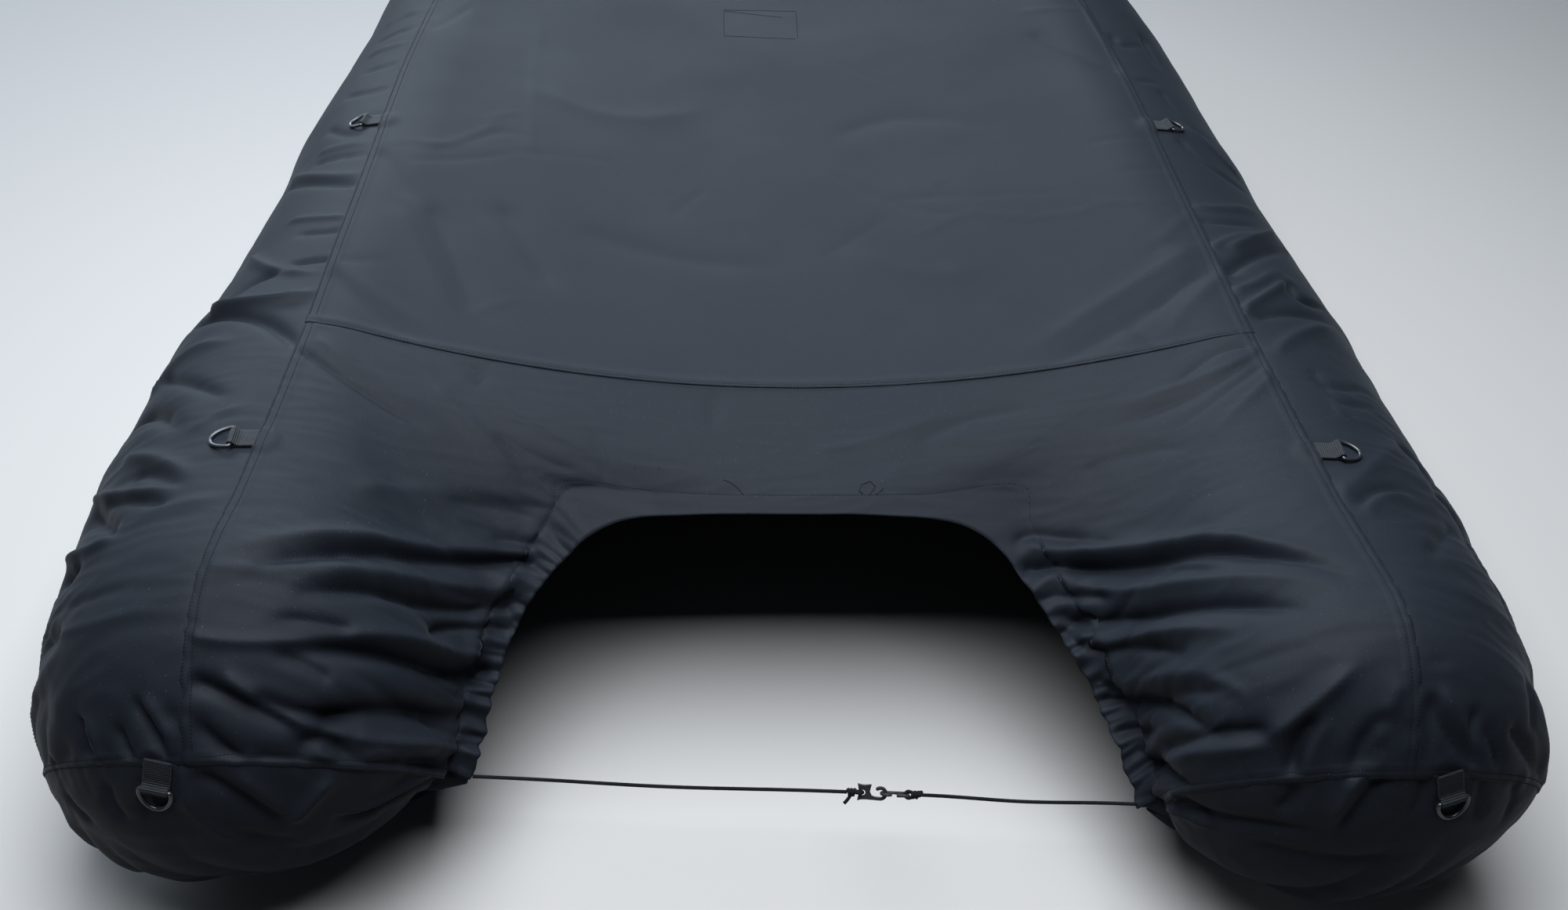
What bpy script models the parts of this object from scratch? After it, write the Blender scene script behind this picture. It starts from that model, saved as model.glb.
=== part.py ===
"""Storage cover for a small rigid inflatable boat, in the shape it has on the boat.

Run it with blender --background --python part.py.  Lengths are metres.

The panels are worked out in cover axes: x to starboard, y forward from the cross seam and
z up from the crowns of the tubes.  One empty carries every piece from those axes to the
object's frame, whose origin is just under the top, at mid-length on the centreline.
"""
import math
from collections import namedtuple
from functools import partial

import bmesh
import bpy
import numpy as np
from mathutils import Matrix, Vector
from mathutils.bvhtree import BVHTree

COLLECTION = "boat_cover"
HELPERS = "boat_cover_helpers"

# The cover axes in the object's frame
CROSS_SEAM_Y = -1.03
CROWN_Z = 0.0696

# Cloth
CLOTH = 0.002
GAP = 0.0006
END_GAP = 0.0012
CLEARANCE = 0.0005

# Tubes under the cloth: y, distance of the tube's axis from the centreline,
# and how far outboard of that axis the side seam runs
TUBE_RADIUS = 0.240
TUBE_ROWS = (
    (-0.80, 0.660, 0.004),
    (-0.50, 0.659, 0.002),
    (-0.36, 0.658, -0.010),
    (-0.20, 0.656, -0.014),
    (0.00, 0.650, -0.012),
    (0.20, 0.636, 0.003),
    (0.36, 0.625, 0.013),
    (0.55, 0.611, 0.028),
    (0.80, 0.608, 0.031),
    (1.50, 0.600, 0.028),
    (3.00, 0.600, 0.028),
)
AXIS_START = -0.80
CROSS_SEAM_HALF = 0.638

# Bow: where the tubes start to close in, how far they run from there, and their rise
BOW_START = 0.55
BOW_LENGTH = 1.95
BOW_POWER = 2.2
BOW_RISE = 0.06
BOW_RISE_START = 0.8
BOW_RISE_LENGTH = 1.9
BOW_PATCH = 0.42

# Tube ends, port (-1) and starboard (1): where the rounding starts, its length,
# y of the end seam on top, and the corner where the draw cord comes out
End = namedtuple("End", "centre_y length seam_y corner_x corner_y corner_z")
ENDS = {
    -1: End(-0.410, 0.240, -0.630, 0.393, -0.490, -0.340),
    1: End(-0.520, 0.165, -0.666, 0.427, -0.537, -0.340),
}

# Hem under the tubes, as an angle round the tube from its crown
HEM_ANGLE = math.radians(130)

# Cap hem, port (-1) and starboard (1): share of the way round, height in tube radii from
# the axis and reach in tube radii; the first reach is the outer corner's
CAP_HEM_ROWS = {
    -1: ((0.12, -0.63, 1.15), (0.30, -0.64, 1.10), (0.50, -0.69, 1.01),
         (0.80, -0.68, 1.01), (0.93, -0.58, 1.00)),
    1: ((0.12, -0.65, 1.00), (0.30, -0.61, 1.00), (0.50, -0.60, 0.99),
        (0.80, -0.55, 0.97), (0.93, -0.50, 0.97)),
}
CAP_HEM_CORNER = {-1: 1.09, 1: 1.00}

# How far the cloth stands out at the outer corner of each tube end, port and starboard
CORNER_BULGE = {-1: 0.028, 1: 0.003}
CORNER_ANGLE = math.radians(124)
CORNER_SPREAD = math.radians(36)
CORNER_LENGTH = 0.13

# How far the top sags below the crowns between the tubes: y, sag
SAG_ROWS = (
    (-0.3, 0.100),
    (0.0, 0.100),
    (0.5, 0.088),
    (1.0, 0.072),
    (1.8, 0.045),
    (2.3, 0.020),
    (2.6, 0.000),
)

# How far the loose side panels stand off the tubes: y, port, starboard
SWELL_ROWS = (
    (-0.60, -0.006, -0.036),
    (-0.54, -0.010, -0.030),
    (-0.49, -0.009, -0.004),
    (-0.42, -0.004, 0.003),
    (-0.35, 0.004, 0.001),
    (-0.27, 0.007, 0.006),
    (-0.19, 0.013, 0.000),
    (-0.10, 0.010, 0.000),
    (0.00, 0.009, -0.001),
    (0.08, 0.012, 0.004),
    (0.14, 0.000, 0.008),
    (0.25, -0.006, 0.008),
    (0.33, -0.006, 0.008),
    (0.50, -0.006, 0.009),
    (0.62, -0.005, 0.013),
    (0.72, -0.003, 0.009),
    (0.86, -0.010, 0.007),
    (1.00, -0.016, 0.010),
    (1.15, -0.020, 0.012),
    (1.35, -0.012, 0.008),
    (1.60, 0.000, 0.000),
)

# Arch cut-out, from the draw cord's corners (1) to its top (0): share of the way down,
# half width to port and to starboard, and the facing stitch line's offset from the edge
# (outboard, forward, up)
ARCH_TOP_Y = -0.22
ARCH_TOP_Z = -0.145
ARCH_ROWS = (
    (1.00, 0.393, 0.427, 0.028, 0.0000, 0.022),
    (0.92, 0.388, 0.419, 0.030, 0.0000, 0.022),
    (0.84, 0.378, 0.413, 0.032, 0.0000, 0.021),
    (0.70, 0.372, 0.390, 0.035, 0.0000, 0.020),
    (0.55, 0.360, 0.370, 0.036, 0.0000, 0.020),
    (0.45, 0.348, 0.350, 0.036, 0.0040, 0.019),
    (0.35, 0.330, 0.328, 0.036, 0.0080, 0.017),
    (0.25, 0.308, 0.305, 0.036, 0.0200, 0.015),
    (0.15, 0.280, 0.283, 0.034, 0.0410, 0.018),
    (0.08, 0.254, 0.258, 0.040, 0.0620, 0.027),
    (0.03, 0.222, 0.225, 0.030, 0.0480, 0.020),
    (0.01, 0.185, 0.180, 0.012, 0.0320, 0.0125),
    (0.00, 0.100, 0.100, 0.000, 0.0274, 0.0095),
    (0.00, 0.000, 0.000, 0.000, 0.0274, 0.0095),
)
LEG_SHARE = 0.345
FACING_SHARE = 0.14

# How far off the tube's skin cloth still counts as lying on it, beside and across the boat
BESIDE_SLACK = 0.1
ACROSS_SLACK = 0.002

# Gathers of the drawn edge: two wave lengths and their depths
GATHER_WAVES = ((0.043, 0.0030), (0.071, 0.0022))
GATHERED_SHARE = 0.31
GATHER_REACH = 0.45

# Folds, one a row: start a, b; middle a, b; end a, b in the panel's own shares,
# then half width and height in millimetres (a trough is negative)
REAR_FOLDS = (
    (0.216, 0.085, 0.160, 0.498, 0.094, 0.861, 13, -12),
    (0.218, 0.151, 0.166, 0.529, 0.104, 0.938, 17, 8),
    (0.166, 0.073, 0.126, 0.444, 0.086, 0.749, 12, -12),
    (0.188, 0.116, 0.144, 0.448, 0.092, 0.776, 17, 6),
    (0.146, 0.031, 0.134, 0.220, 0.104, 0.363, 10, -9),
    (0.100, 0.066, 0.070, 0.471, 0.052, 0.714, 15, -16),
    (0.116, 0.135, 0.090, 0.425, 0.064, 0.664, 16, 8),
    (0.026, 0.969, 0.020, 0.830, 0.012, 0.672, 12, -10),
    (0.028, 0.888, 0.018, 0.699, 0.016, 0.490, 11, 7),
    (0.020, 0.606, 0.036, 0.413, 0.062, 0.046, 20, -13),
    (0.010, 0.958, 0.002, 0.884, 0.000, 0.822, 11, -8),
    (0.016, 0.120, 0.000, 0.297, 0.000, 0.448, 14, -8),
    (0.743, 0.046, 0.820, 0.521, 0.896, 0.907, 12, -12),
    (0.735, 0.100, 0.802, 0.502, 0.876, 0.853, 17, 8),
    (0.804, 0.066, 0.866, 0.479, 0.912, 0.764, 13, -12),
    (0.782, 0.178, 0.840, 0.459, 0.904, 0.861, 15, 6),
    (0.842, 0.100, 0.864, 0.274, 0.902, 0.440, 12, -10),
    (0.830, 0.085, 0.870, 0.359, 0.908, 0.602, 14, 7),
    (0.894, 0.012, 0.916, 0.259, 0.966, 0.459, 13, -13),
    (0.876, 0.062, 0.902, 0.328, 0.936, 0.548, 20, 5),
    (0.956, 0.266, 0.974, 0.510, 0.980, 0.633, 13, -8),
    (0.980, 0.625, 0.972, 0.741, 0.944, 0.815, 13, 9),
    (0.982, 0.726, 0.988, 0.672, 1.000, 0.625, 10, -10),
    (0.984, 0.907, 0.992, 0.853, 0.998, 0.819, 10, -7),
    (0.958, 0.112, 0.982, 0.251, 1.000, 0.324, 12, -10),
    (0.970, 0.274, 0.980, 0.452, 0.986, 0.614, 14, 5),
)
CENTRE_FOLDS = (
    (0.982, 0.069, 0.896, 0.035, 0.796, 0.004, 22, -6),
    (0.966, 0.089, 0.892, 0.062, 0.780, 0.023, 22, 5),
    (0.896, 0.425, 0.956, 0.378, 1.000, 0.363, 20, -4),
    (0.014, 0.205, 0.042, 0.174, 0.068, 0.147, 18, -5),
    (0.006, 0.054, 0.050, 0.023, 0.118, 0.000, 15, -4),
)
PORT_FOLDS = (
    (0.0101, 0.1509, 0.0049, 0.1132, 0.0000, 0.0818, 9, -7),
    (0.0101, 0.3836, 0.0045, 0.4151, 0.0000, 0.4600, 9, -6),
    (0.0574, 0.3585, 0.0585, 0.3396, 0.0625, 0.3333, 12, -9),
    (0.0698, 0.3836, 0.0653, 0.2767, 0.0677, 0.2327, 12, 7),
    (0.0886, 0.3648, 0.0777, 0.2956, 0.0689, 0.2453, 18, -10),
    (0.0963, 0.2516, 0.0986, 0.2264, 0.0869, 0.1258, 12, -6),
    (0.2002, 0.2327, 0.1996, 0.1069, 0.2096, 0.0126, 11, 8),
    (0.1915, 0.2642, 0.1875, 0.1195, 0.1683, 0.0000, 13, -9),
    (0.2061, 0.2138, 0.2180, 0.1572, 0.2235, 0.0881, 12, -6),
    (0.3184, 0.2516, 0.3015, 0.0881, 0.3022, 0.0063, 9, -4),
    (0.3287, 0.2579, 0.3103, 0.1006, 0.3109, 0.0063, 9, 4),
    (0.1542, 0.2767, 0.1467, 0.2013, 0.1358, 0.1132, 11, -6),
    (0.1373, 0.3396, 0.1337, 0.2704, 0.1206, 0.1950, 17, -10),
    (0.1536, 0.3145, 0.1672, 0.2453, 0.1711, 0.1572, 15, 5),
)
STARBOARD_FOLDS = (
    (0.0121, 0.0440, 0.0070, 0.0943, 0.0017, 0.2201, 9, -6),
    (0.0076, 0.2327, 0.0050, 0.2956, 0.0018, 0.3585, 8, -5),
    (0.0092, 0.3270, 0.0070, 0.4151, 0.0036, 0.5535, 9, -6),
    (0.1286, 0.2516, 0.1221, 0.2893, 0.1104, 0.2956, 14, -8),
    (0.2438, 0.0252, 0.2596, 0.1258, 0.2882, 0.3145, 14, -8),
    (0.2641, 0.0692, 0.2816, 0.1887, 0.2982, 0.2830, 10, 5),
    (0.2120, 0.0063, 0.2253, 0.1006, 0.2419, 0.1887, 8, 6),
    (0.2357, 0.1698, 0.2247, 0.1824, 0.2253, 0.2516, 9, -8),
    (0.2079, 0.0440, 0.2114, 0.1195, 0.2102, 0.2138, 12, -6),
)
PORT_CAP_FOLDS = (
    (0.523, 0.069, 0.575, 0.170, 0.633, 0.332, 12, -7),
    (0.479, 0.066, 0.509, 0.243, 0.563, 0.409, 13, 6),
    (0.705, 0.112, 0.675, 0.220, 0.641, 0.332, 12, 7),
    (0.944, 0.116, 0.818, 0.336, 0.719, 0.363, 10, -8),
    (0.886, 0.050, 0.798, 0.274, 0.731, 0.328, 9, 5),
)
STARBOARD_CAP_FOLDS = (
    (0.543, 0.000, 0.571, 0.158, 0.589, 0.259, 12, -7),
    (0.583, 0.000, 0.597, 0.100, 0.607, 0.232, 12, 6),
    (0.677, 0.039, 0.675, 0.112, 0.695, 0.189, 12, -6),
    (0.838, 0.208, 0.741, 0.263, 0.621, 0.278, 12, -6),
    (0.970, 0.000, 0.870, 0.066, 0.786, 0.301, 9, -6),
)
FOLD_LEAST_WIDTH = 0.020
SEAM_FADE = 0.025

# Grid of each panel
LEG_COLUMNS = 32
MIDDLE_COLUMNS = 22
REAR_ROWS = 11
CENTRE_ROWS = 26
SIDE_ROWS = 9
CAP_ROWS = 7

# Webbing tabs and their D-rings: name, panel, share along it, share at the root,
# and shares at the tab's end and at the ring's far side
TAB_ROWS = (
    ("left_rear", "side_panel_left", 0.1119, 0.000, 0.1114, 0.075),
    ("right_rear", "side_panel_right", 0.1187, 0.000, 0.1182, 0.075),
    ("left_front", "side_panel_left", 0.3646, 0.000, 0.3662, 0.075),
    ("right_front", "side_panel_right", 0.3797, 0.000, 0.3815, 0.075),
    ("left_stern", "end_cap_left", 0.4320, 0.000, 0.4280, 0.170),
    ("right_stern", "end_cap_right", 0.4128, 0.000, 0.4100, 0.150),
)
TAB_WIDTH = 0.030
TAB_LENGTH = 0.031
TAB_START = 0.001
PLY = 0.0014
RING_WIRE = 0.0025
RING_CLEARANCE = 0.0006
RING_BAR_HALF = 0.0157
RING_HALF_WIDTH = 0.018
RING_SHOULDER = 0.006
RING_DEPTH = 0.0265

# Draw cord and its two hooks
CORD_RADIUS = 0.00225
CORD_SAG = 0.004
CORD_START = 0.0012
CORD_POINTS = 34
HOOK_SHARE = 0.578
HOOK_FACING = (0.05, -0.80, 0.60)
HOOK_THICKNESS = 0.0032
HOOK_EYE_AT = (0.0065, 0.0005)
HOOK_EYE_RADIUS = 0.0034
HOOK_BEND_AT = 0.0285
HOOK_BEND_OUTER = 0.0088
HOOK_BEND_INNER = 0.0045
HOOK_LINK = 0.0082
HOOK_BODY_LOWER = ((0.0000, -0.0095), (0.0050, -0.0082), (0.0120, -0.0080), (0.0200, -0.0084))
HOOK_BODY_UPPER = ((0.0215, -0.0040), (0.0180, -0.0030), (0.0155, 0.0020), (0.0165, 0.0070),
                   (0.0175, 0.0108), (0.0080, 0.0100), (0.0000, 0.0115))
KNOT_RADII = (0.0062, 0.0060, 0.0052)
KNOT_AT = -0.0067
KNOT_TAIL = 0.017
KNOT_TAIL_TILT = 55.0

# Materials: colour, roughness, metallic
BLACK_CLOTH = ("cover_cloth", (0.030, 0.037, 0.046), 0.72, 0.0)
WEBBING = ("webbing", (0.040, 0.045, 0.055), 0.80, 0.0)
RING_PLASTIC = ("ring_plastic", (0.070, 0.078, 0.085), 0.35, 0.0)
HOOK_PLASTIC = ("hook_plastic", (0.045, 0.050, 0.055), 0.45, 0.0)
CORD_BRAID = ("cord_braid", (0.012, 0.014, 0.017), 0.85, 0.0)


def blend(t):
    """Smooth step from 0 to 1."""
    t = np.clip(t, 0.0, 1.0)
    return t * t * (3.0 - 2.0 * t)


def read(rows, column, y):
    """A table's column at the stations y, straight between the rows."""
    return np.interp(y, [row[0] for row in rows], [row[column] for row in rows])


# ---------------------------------------------------------------- tubes

def tube_axis():
    """The starboard tube's axis in plan: stations along it, x, y and the outward normal."""
    ys = np.linspace(AXIS_START, BOW_START, 60)[:-1]
    straight = np.stack([read(TUBE_ROWS, 1, ys), ys], -1)
    share = np.sin(np.linspace(0.0, math.pi / 2.0, 160))
    bow_x = read(TUBE_ROWS, 1, BOW_START) * np.maximum(0.0, 1.0 - share ** BOW_POWER) ** (1.0 / BOW_POWER)
    bow = np.stack([bow_x, BOW_START + BOW_LENGTH * share], -1)
    points = np.concatenate([straight, bow])
    steps = np.linalg.norm(np.diff(points, axis=0), axis=1)
    stations = AXIS_START + np.concatenate([[0.0], np.cumsum(steps)])
    tangent = np.gradient(points, stations, axis=0)
    tangent /= np.linalg.norm(tangent, axis=1)[:, None]
    normal = np.stack([tangent[:, 1], -tangent[:, 0]], -1)
    normal[-1] = (0.0, 1.0)
    return stations, points, normal


AXIS_S, AXIS_XY, AXIS_N = tube_axis()
TIP = AXIS_S[-1]


def axis_y(s):
    return np.interp(s, AXIS_S, AXIS_XY[:, 1])


def bow_rise(y):
    return BOW_RISE * blend((y - BOW_RISE_START) / BOW_RISE_LENGTH)


def end_scale(side, y):
    """How much of the tube's radius is left at y on its rounded end."""
    end = ENDS[side]
    reach = np.clip((end.centre_y - y) / end.length, 0.0, 1.0)
    return np.sqrt(1.0 - reach * reach)


def seam_angle(s):
    """Angle of the side seam from the crown, outward."""
    return np.arcsin(read(TUBE_ROWS, 2, axis_y(s)) / TUBE_RADIUS)


def tube_point(side, s, angle):
    """Point on the tube's skin at station s and an angle from the crown, outward."""
    s, angle = np.broadcast_arrays(s, angle)
    cx = np.interp(s, AXIS_S, AXIS_XY[:, 0])
    cy = axis_y(s)
    straight = s < BOW_START
    nx = np.where(straight, 1.0, np.interp(s, AXIS_S, AXIS_N[:, 0]))
    ny = np.where(straight, 0.0, np.interp(s, AXIS_S, AXIS_N[:, 1]))
    radius = TUBE_RADIUS * np.where(straight, end_scale(side, cy), 1.0)
    out = radius * np.sin(angle)
    z = radius * np.cos(angle) - TUBE_RADIUS + bow_rise(cy)
    return np.stack([side * (cx + nx * out), cy + ny * out, z], -1)


def seam_plane(side):
    """Height at the seam's top and slope of the sloping plane that the end seam lies in."""
    end = ENDS[side]
    top_z = TUBE_RADIUS * (float(end_scale(side, end.seam_y)) - 1.0)
    return top_z, (end.corner_z - top_z) / (end.corner_y - end.seam_y)


def end_seam_y(side, angle):
    """y where the end seam's plane cuts the tube at an angle from the crown."""
    end = ENDS[side]
    top_z, slope = seam_plane(side)
    low = np.full(np.shape(angle), end.centre_y - end.length + 1e-5)
    high = np.full(np.shape(angle), end.centre_y + 0.35)
    for _ in range(50):
        y = (low + high) / 2.0
        skin_z = TUBE_RADIUS * (end_scale(side, y) * np.cos(angle) - 1.0)
        above = skin_z > top_z + slope * (y - end.seam_y)
        low = np.where(above, low, y)
        high = np.where(above, y, high)
    return (low + high) / 2.0


# ---------------------------------------------------------------- the span between the tubes

def span_drop(inboard, half, sag):
    """Height at a distance inboard of a tube's axis: over the tube, then along a sagging span."""
    half = np.maximum(half, 0.02)
    sag = np.minimum(sag, 0.6 * half)
    low = np.zeros(np.shape(half + sag + inboard))
    high = np.minimum(half, 0.95 * TUBE_RADIUS) + low
    for _ in range(40):
        leave = (low + high) / 2.0
        root = np.sqrt(TUBE_RADIUS ** 2 - leave ** 2)
        deep = (TUBE_RADIUS - root) + (half - leave) * leave / (2.0 * root) > sag
        high = np.where(deep, leave, high)
        low = np.where(deep, low, leave)
    leave = (low + high) / 2.0
    root = np.sqrt(TUBE_RADIUS ** 2 - leave ** 2)
    rest = np.maximum(half - leave, 1e-4)
    curve = leave / root / (2.0 * rest)
    on_tube = TUBE_RADIUS - np.sqrt(TUBE_RADIUS ** 2 - np.minimum(np.abs(inboard), 0.999 * TUBE_RADIUS) ** 2)
    free = sag - curve * (half - inboard) ** 2
    return -np.where(inboard < leave, on_tube, free)


def axis_distance(x, y):
    """Distance inboard of the tube's axis in plan, and y of the nearest point on the axis."""
    start, stop = AXIS_XY[40:-1], AXIS_XY[41:]
    leg = stop - start
    best = np.full(x.shape, 1e9)
    inboard = np.zeros(x.shape)
    near_y = np.zeros(x.shape)
    for (ax, ay), (lx, ly) in zip(start, leg):
        t = np.clip(((x - ax) * lx + (y - ay) * ly) / (lx * lx + ly * ly), 0.0, 1.0)
        distance = np.hypot(x - ax - t * lx, y - ay - t * ly)
        nearer = distance < best
        sign = np.sign(lx * (y - ay) - ly * (x - ax))
        best = np.where(nearer, distance, best)
        inboard = np.where(nearer, distance * sign, inboard)
        near_y = np.where(nearer, ay + t * ly, near_y)
    return inboard, near_y


def top_height(x, y):
    """Height of the top between and over the tubes."""
    x = np.abs(x)
    straight = y < BOW_START
    spacing = np.interp(y, AXIS_XY[:, 1], AXIS_XY[:, 0])
    inboard, near_y = axis_distance(x, y)
    inboard = np.where(straight, spacing - x, inboard)
    near_y = np.where(straight, y, near_y)
    middle_y = np.linspace(BOW_START, AXIS_XY[-1, 1], 60)
    middle_half = [np.hypot(AXIS_XY[:, 0], AXIS_XY[:, 1] - v).min() for v in middle_y]
    half = np.where(straight, spacing, np.interp(y, middle_y, middle_half))
    return span_drop(inboard, half, read(SAG_ROWS, 1, y)) + bow_rise(near_y)


# ---------------------------------------------------------------- rear panel

def arch_edge():
    """The arch's edge from the port corner to the starboard corner, and the facing's offset from it."""
    halves = []
    for side, column in ((-1, 1), (1, 2)):
        rows = np.array(ARCH_ROWS)
        end = ENDS[side]
        run = rows[:, 0]
        edge = np.stack([side * rows[:, column],
                         ARCH_TOP_Y + run * (end.corner_y - ARCH_TOP_Y),
                         ARCH_TOP_Z + run * (end.corner_z - ARCH_TOP_Z)], -1)
        facing = rows[:, 3:6] * (side, 1.0, 1.0)
        both = np.concatenate([edge, facing], -1)
        halves.append(both if side < 0 else both[::-1][1:])
    both = np.concatenate(halves)
    length = np.concatenate([[0.0], np.cumsum(np.linalg.norm(np.diff(both[:, :3], axis=0), axis=1))])
    share = np.linspace(0.0, 1.0, 400)
    fine = np.stack([np.interp(share * length[-1], length, both[:, i]) for i in range(6)], -1)
    smooth = fine.copy()
    width = 5
    for i in range(width, len(fine) - width):
        smooth[i] = fine[i - width:i + width + 1].mean(axis=0)
    return share, smooth


ARCH_SHARE, ARCH_EDGE = arch_edge()


def at_arch(a):
    values = np.stack([np.interp(a, ARCH_SHARE, ARCH_EDGE[:, i]) for i in range(6)], -1)
    return values[..., :3], values[..., 3:]


def taut_line(start, stop, radius, axis_x, share, slack):
    """Point at a share of the way from stop (0) to start (1) along a line pulled round the tube.

    start and stop are (outward, height) pairs in one cross-section of the tube.  A start
    within the slack of the tube's skin lies on it.
    """
    centre = np.stack([axis_x, np.full(np.shape(axis_x), -TUBE_RADIUS)], -1)
    from_start, from_stop = start - centre, stop - centre
    start_angle = np.arctan2(from_start[..., 0], from_start[..., 1])
    stop_angle = np.arctan2(from_stop[..., 0], from_stop[..., 1])
    stop_distance = np.hypot(from_stop[..., 0], from_stop[..., 1])
    start_distance = np.hypot(from_start[..., 0], from_start[..., 1])
    bend = np.minimum(radius, stop_distance)
    leave = stop_angle + np.arccos(np.clip(bend / stop_distance, -1.0, 1.0))
    wraps = (leave < start_angle) & (start_distance < radius + slack)
    direct = np.hypot(start[..., 0] - stop[..., 0], start[..., 1] - stop[..., 1])
    free = np.where(wraps, np.sqrt(np.maximum(stop_distance ** 2 - bend ** 2, 0.0)), direct)
    arc = np.where(wraps, bend * (start_angle - leave), 0.0)
    along = share * (free + arc)
    touch = centre + np.stack([bend * np.sin(leave), bend * np.cos(leave)], -1)
    target = np.where(wraps[..., None], touch, start)
    part = np.clip(along / np.maximum(free, 1e-9), 0.0, 1.0)[..., None]
    turned = np.clip((along - free) / np.maximum(arc, 1e-6), 0.0, 1.0)
    angle = leave + (start_angle - leave) * turned
    reach = bend + (radius - bend) * turned
    around = centre + np.stack([reach * np.sin(angle), reach * np.cos(angle)], -1)
    return np.where((along <= free)[..., None], stop + (target - stop) * part, around)


def end_seam_shift(side, share):
    """How far forward the rear panel's end seam bows, at shares from its corner to the side seam."""
    end = ENDS[side]
    top_z, slope = seam_plane(side)
    edge, facing = at_arch(0.0 if side < 0 else 1.0)
    corner = edge + facing
    top_x = read(TUBE_ROWS, 1, end.seam_y) + read(TUBE_ROWS, 2, end.seam_y) * end_scale(side, end.seam_y)
    start = np.broadcast_to([float(top_x), top_z], share.shape + (2,))
    stop = np.broadcast_to([side * corner[0], corner[2]], share.shape + (2,))
    line = corner[1] + (end.seam_y - corner[1]) * share
    y = line
    for _ in range(30):
        radius = TUBE_RADIUS * end_scale(side, y)
        height = taut_line(start, stop, radius, read(TUBE_ROWS, 1, y), share, BESIDE_SLACK)[..., 1]
        y = 0.5 * (y + end.seam_y + (height - top_z) / slope)
    return y - line


def rear_half(side, a, b):
    """Rear panel on one side: a from its corner (0) to the middle (0.5), b from the arch edge outward."""
    end = ENDS[side]
    edge, facing = at_arch(a if side < 0 else 1.0 - a)
    inner = edge + facing
    beside = a < LEG_SHARE
    outer_y = np.where(beside, end.seam_y * (1.0 - np.clip(a / LEG_SHARE, 0.0, 1.0)), 0.0)
    scale = end_scale(side, outer_y)
    axis_x = read(TUBE_ROWS, 1, outer_y)
    beside_x = axis_x + read(TUBE_ROWS, 2, outer_y) * scale
    beside_z = np.sqrt(np.maximum((TUBE_RADIUS * scale) ** 2 - (beside_x - axis_x) ** 2, 0.0)) - TUBE_RADIUS
    across_x = CROSS_SEAM_HALF * (1.0 - np.clip((a - LEG_SHARE) / (0.5 - LEG_SHARE), 0.0, 1.0))
    across_z = top_height(across_x, np.zeros(a.shape))
    outer = np.stack([np.where(beside, beside_x, across_x), np.where(beside, beside_z, across_z)], -1)
    share = np.clip((b - FACING_SHARE) / (1.0 - FACING_SHARE), 0.0, 1.0)
    y = inner[..., 1] + (outer_y - inner[..., 1]) * share
    y = y + end_seam_shift(side, share) * (1.0 - blend(a / LEG_SHARE))
    stop = np.stack([side * inner[..., 0], inner[..., 2]], -1)
    slack = np.where(beside, BESIDE_SLACK, ACROSS_SLACK)
    line = taut_line(outer, stop, TUBE_RADIUS * end_scale(side, y), read(TUBE_ROWS, 1, y), share, slack)
    panel = np.stack([side * line[..., 0], y, line[..., 1]], -1)
    band = edge + facing * np.clip(b / FACING_SHARE, 0.0, 1.0)[..., None]
    return np.where((b < FACING_SHARE)[..., None], band, panel)


def rear_base(a, b):
    """Rear panel: a along the arch edge from port to starboard, b from the arch edge to the outer seams."""
    port = rear_half(-1, np.minimum(a, 0.5), b)
    starboard = rear_half(1, np.minimum(1.0 - a, 0.5), b)
    return np.where((a < 0.5)[..., None], port, starboard)


# ---------------------------------------------------------------- side panels, caps and centre panel

def side_base(side, a, b):
    """Side panel: a from the end seam to the bow, b from the side seam to the hem."""
    s = -0.6 + (TIP + 0.6) * a
    for _ in range(3):
        top = seam_angle(s)
        angle = top + (HEM_ANGLE - top) * b
        first = end_seam_y(side, angle)
        s = first + (TIP - first) * a
    point = tube_point(side, s, angle)
    swell = read(SWELL_ROWS, 1 if side < 0 else 2, point[..., 1])
    swell = swell * np.sin(np.pi * np.clip(1.05 * b - 0.02, 0.0, 1.0))
    turn = HEM_ANGLE * b
    normal = np.stack([side * np.sin(turn), np.zeros(turn.shape), np.cos(turn)], -1)
    round_tube = (angle - CORNER_ANGLE) / CORNER_SPREAD
    along_tube = (point[..., 1] - ENDS[side].corner_y) / CORNER_LENGTH
    corner = np.exp(-round_tube ** 2 - along_tube ** 2)
    return point + normal * (swell * blend(a / 0.06) + CORNER_BULGE[side] * corner)[..., None]


def cap_seam(side, f):
    """The end seam all round: f from the outer hem corner by the side seam (0.5) to the cord's corner."""
    corner = 0.0 if side < 0 else 1.0
    outside = side_base(side, np.zeros(f.shape), np.clip(1.0 - 2.0 * f, 0.0, 1.0))
    inside = rear_base(np.full(f.shape, corner), np.clip(2.0 - 2.0 * f, 0.0, 1.0))
    return np.where((f < 0.5)[..., None], outside, inside)


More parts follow.
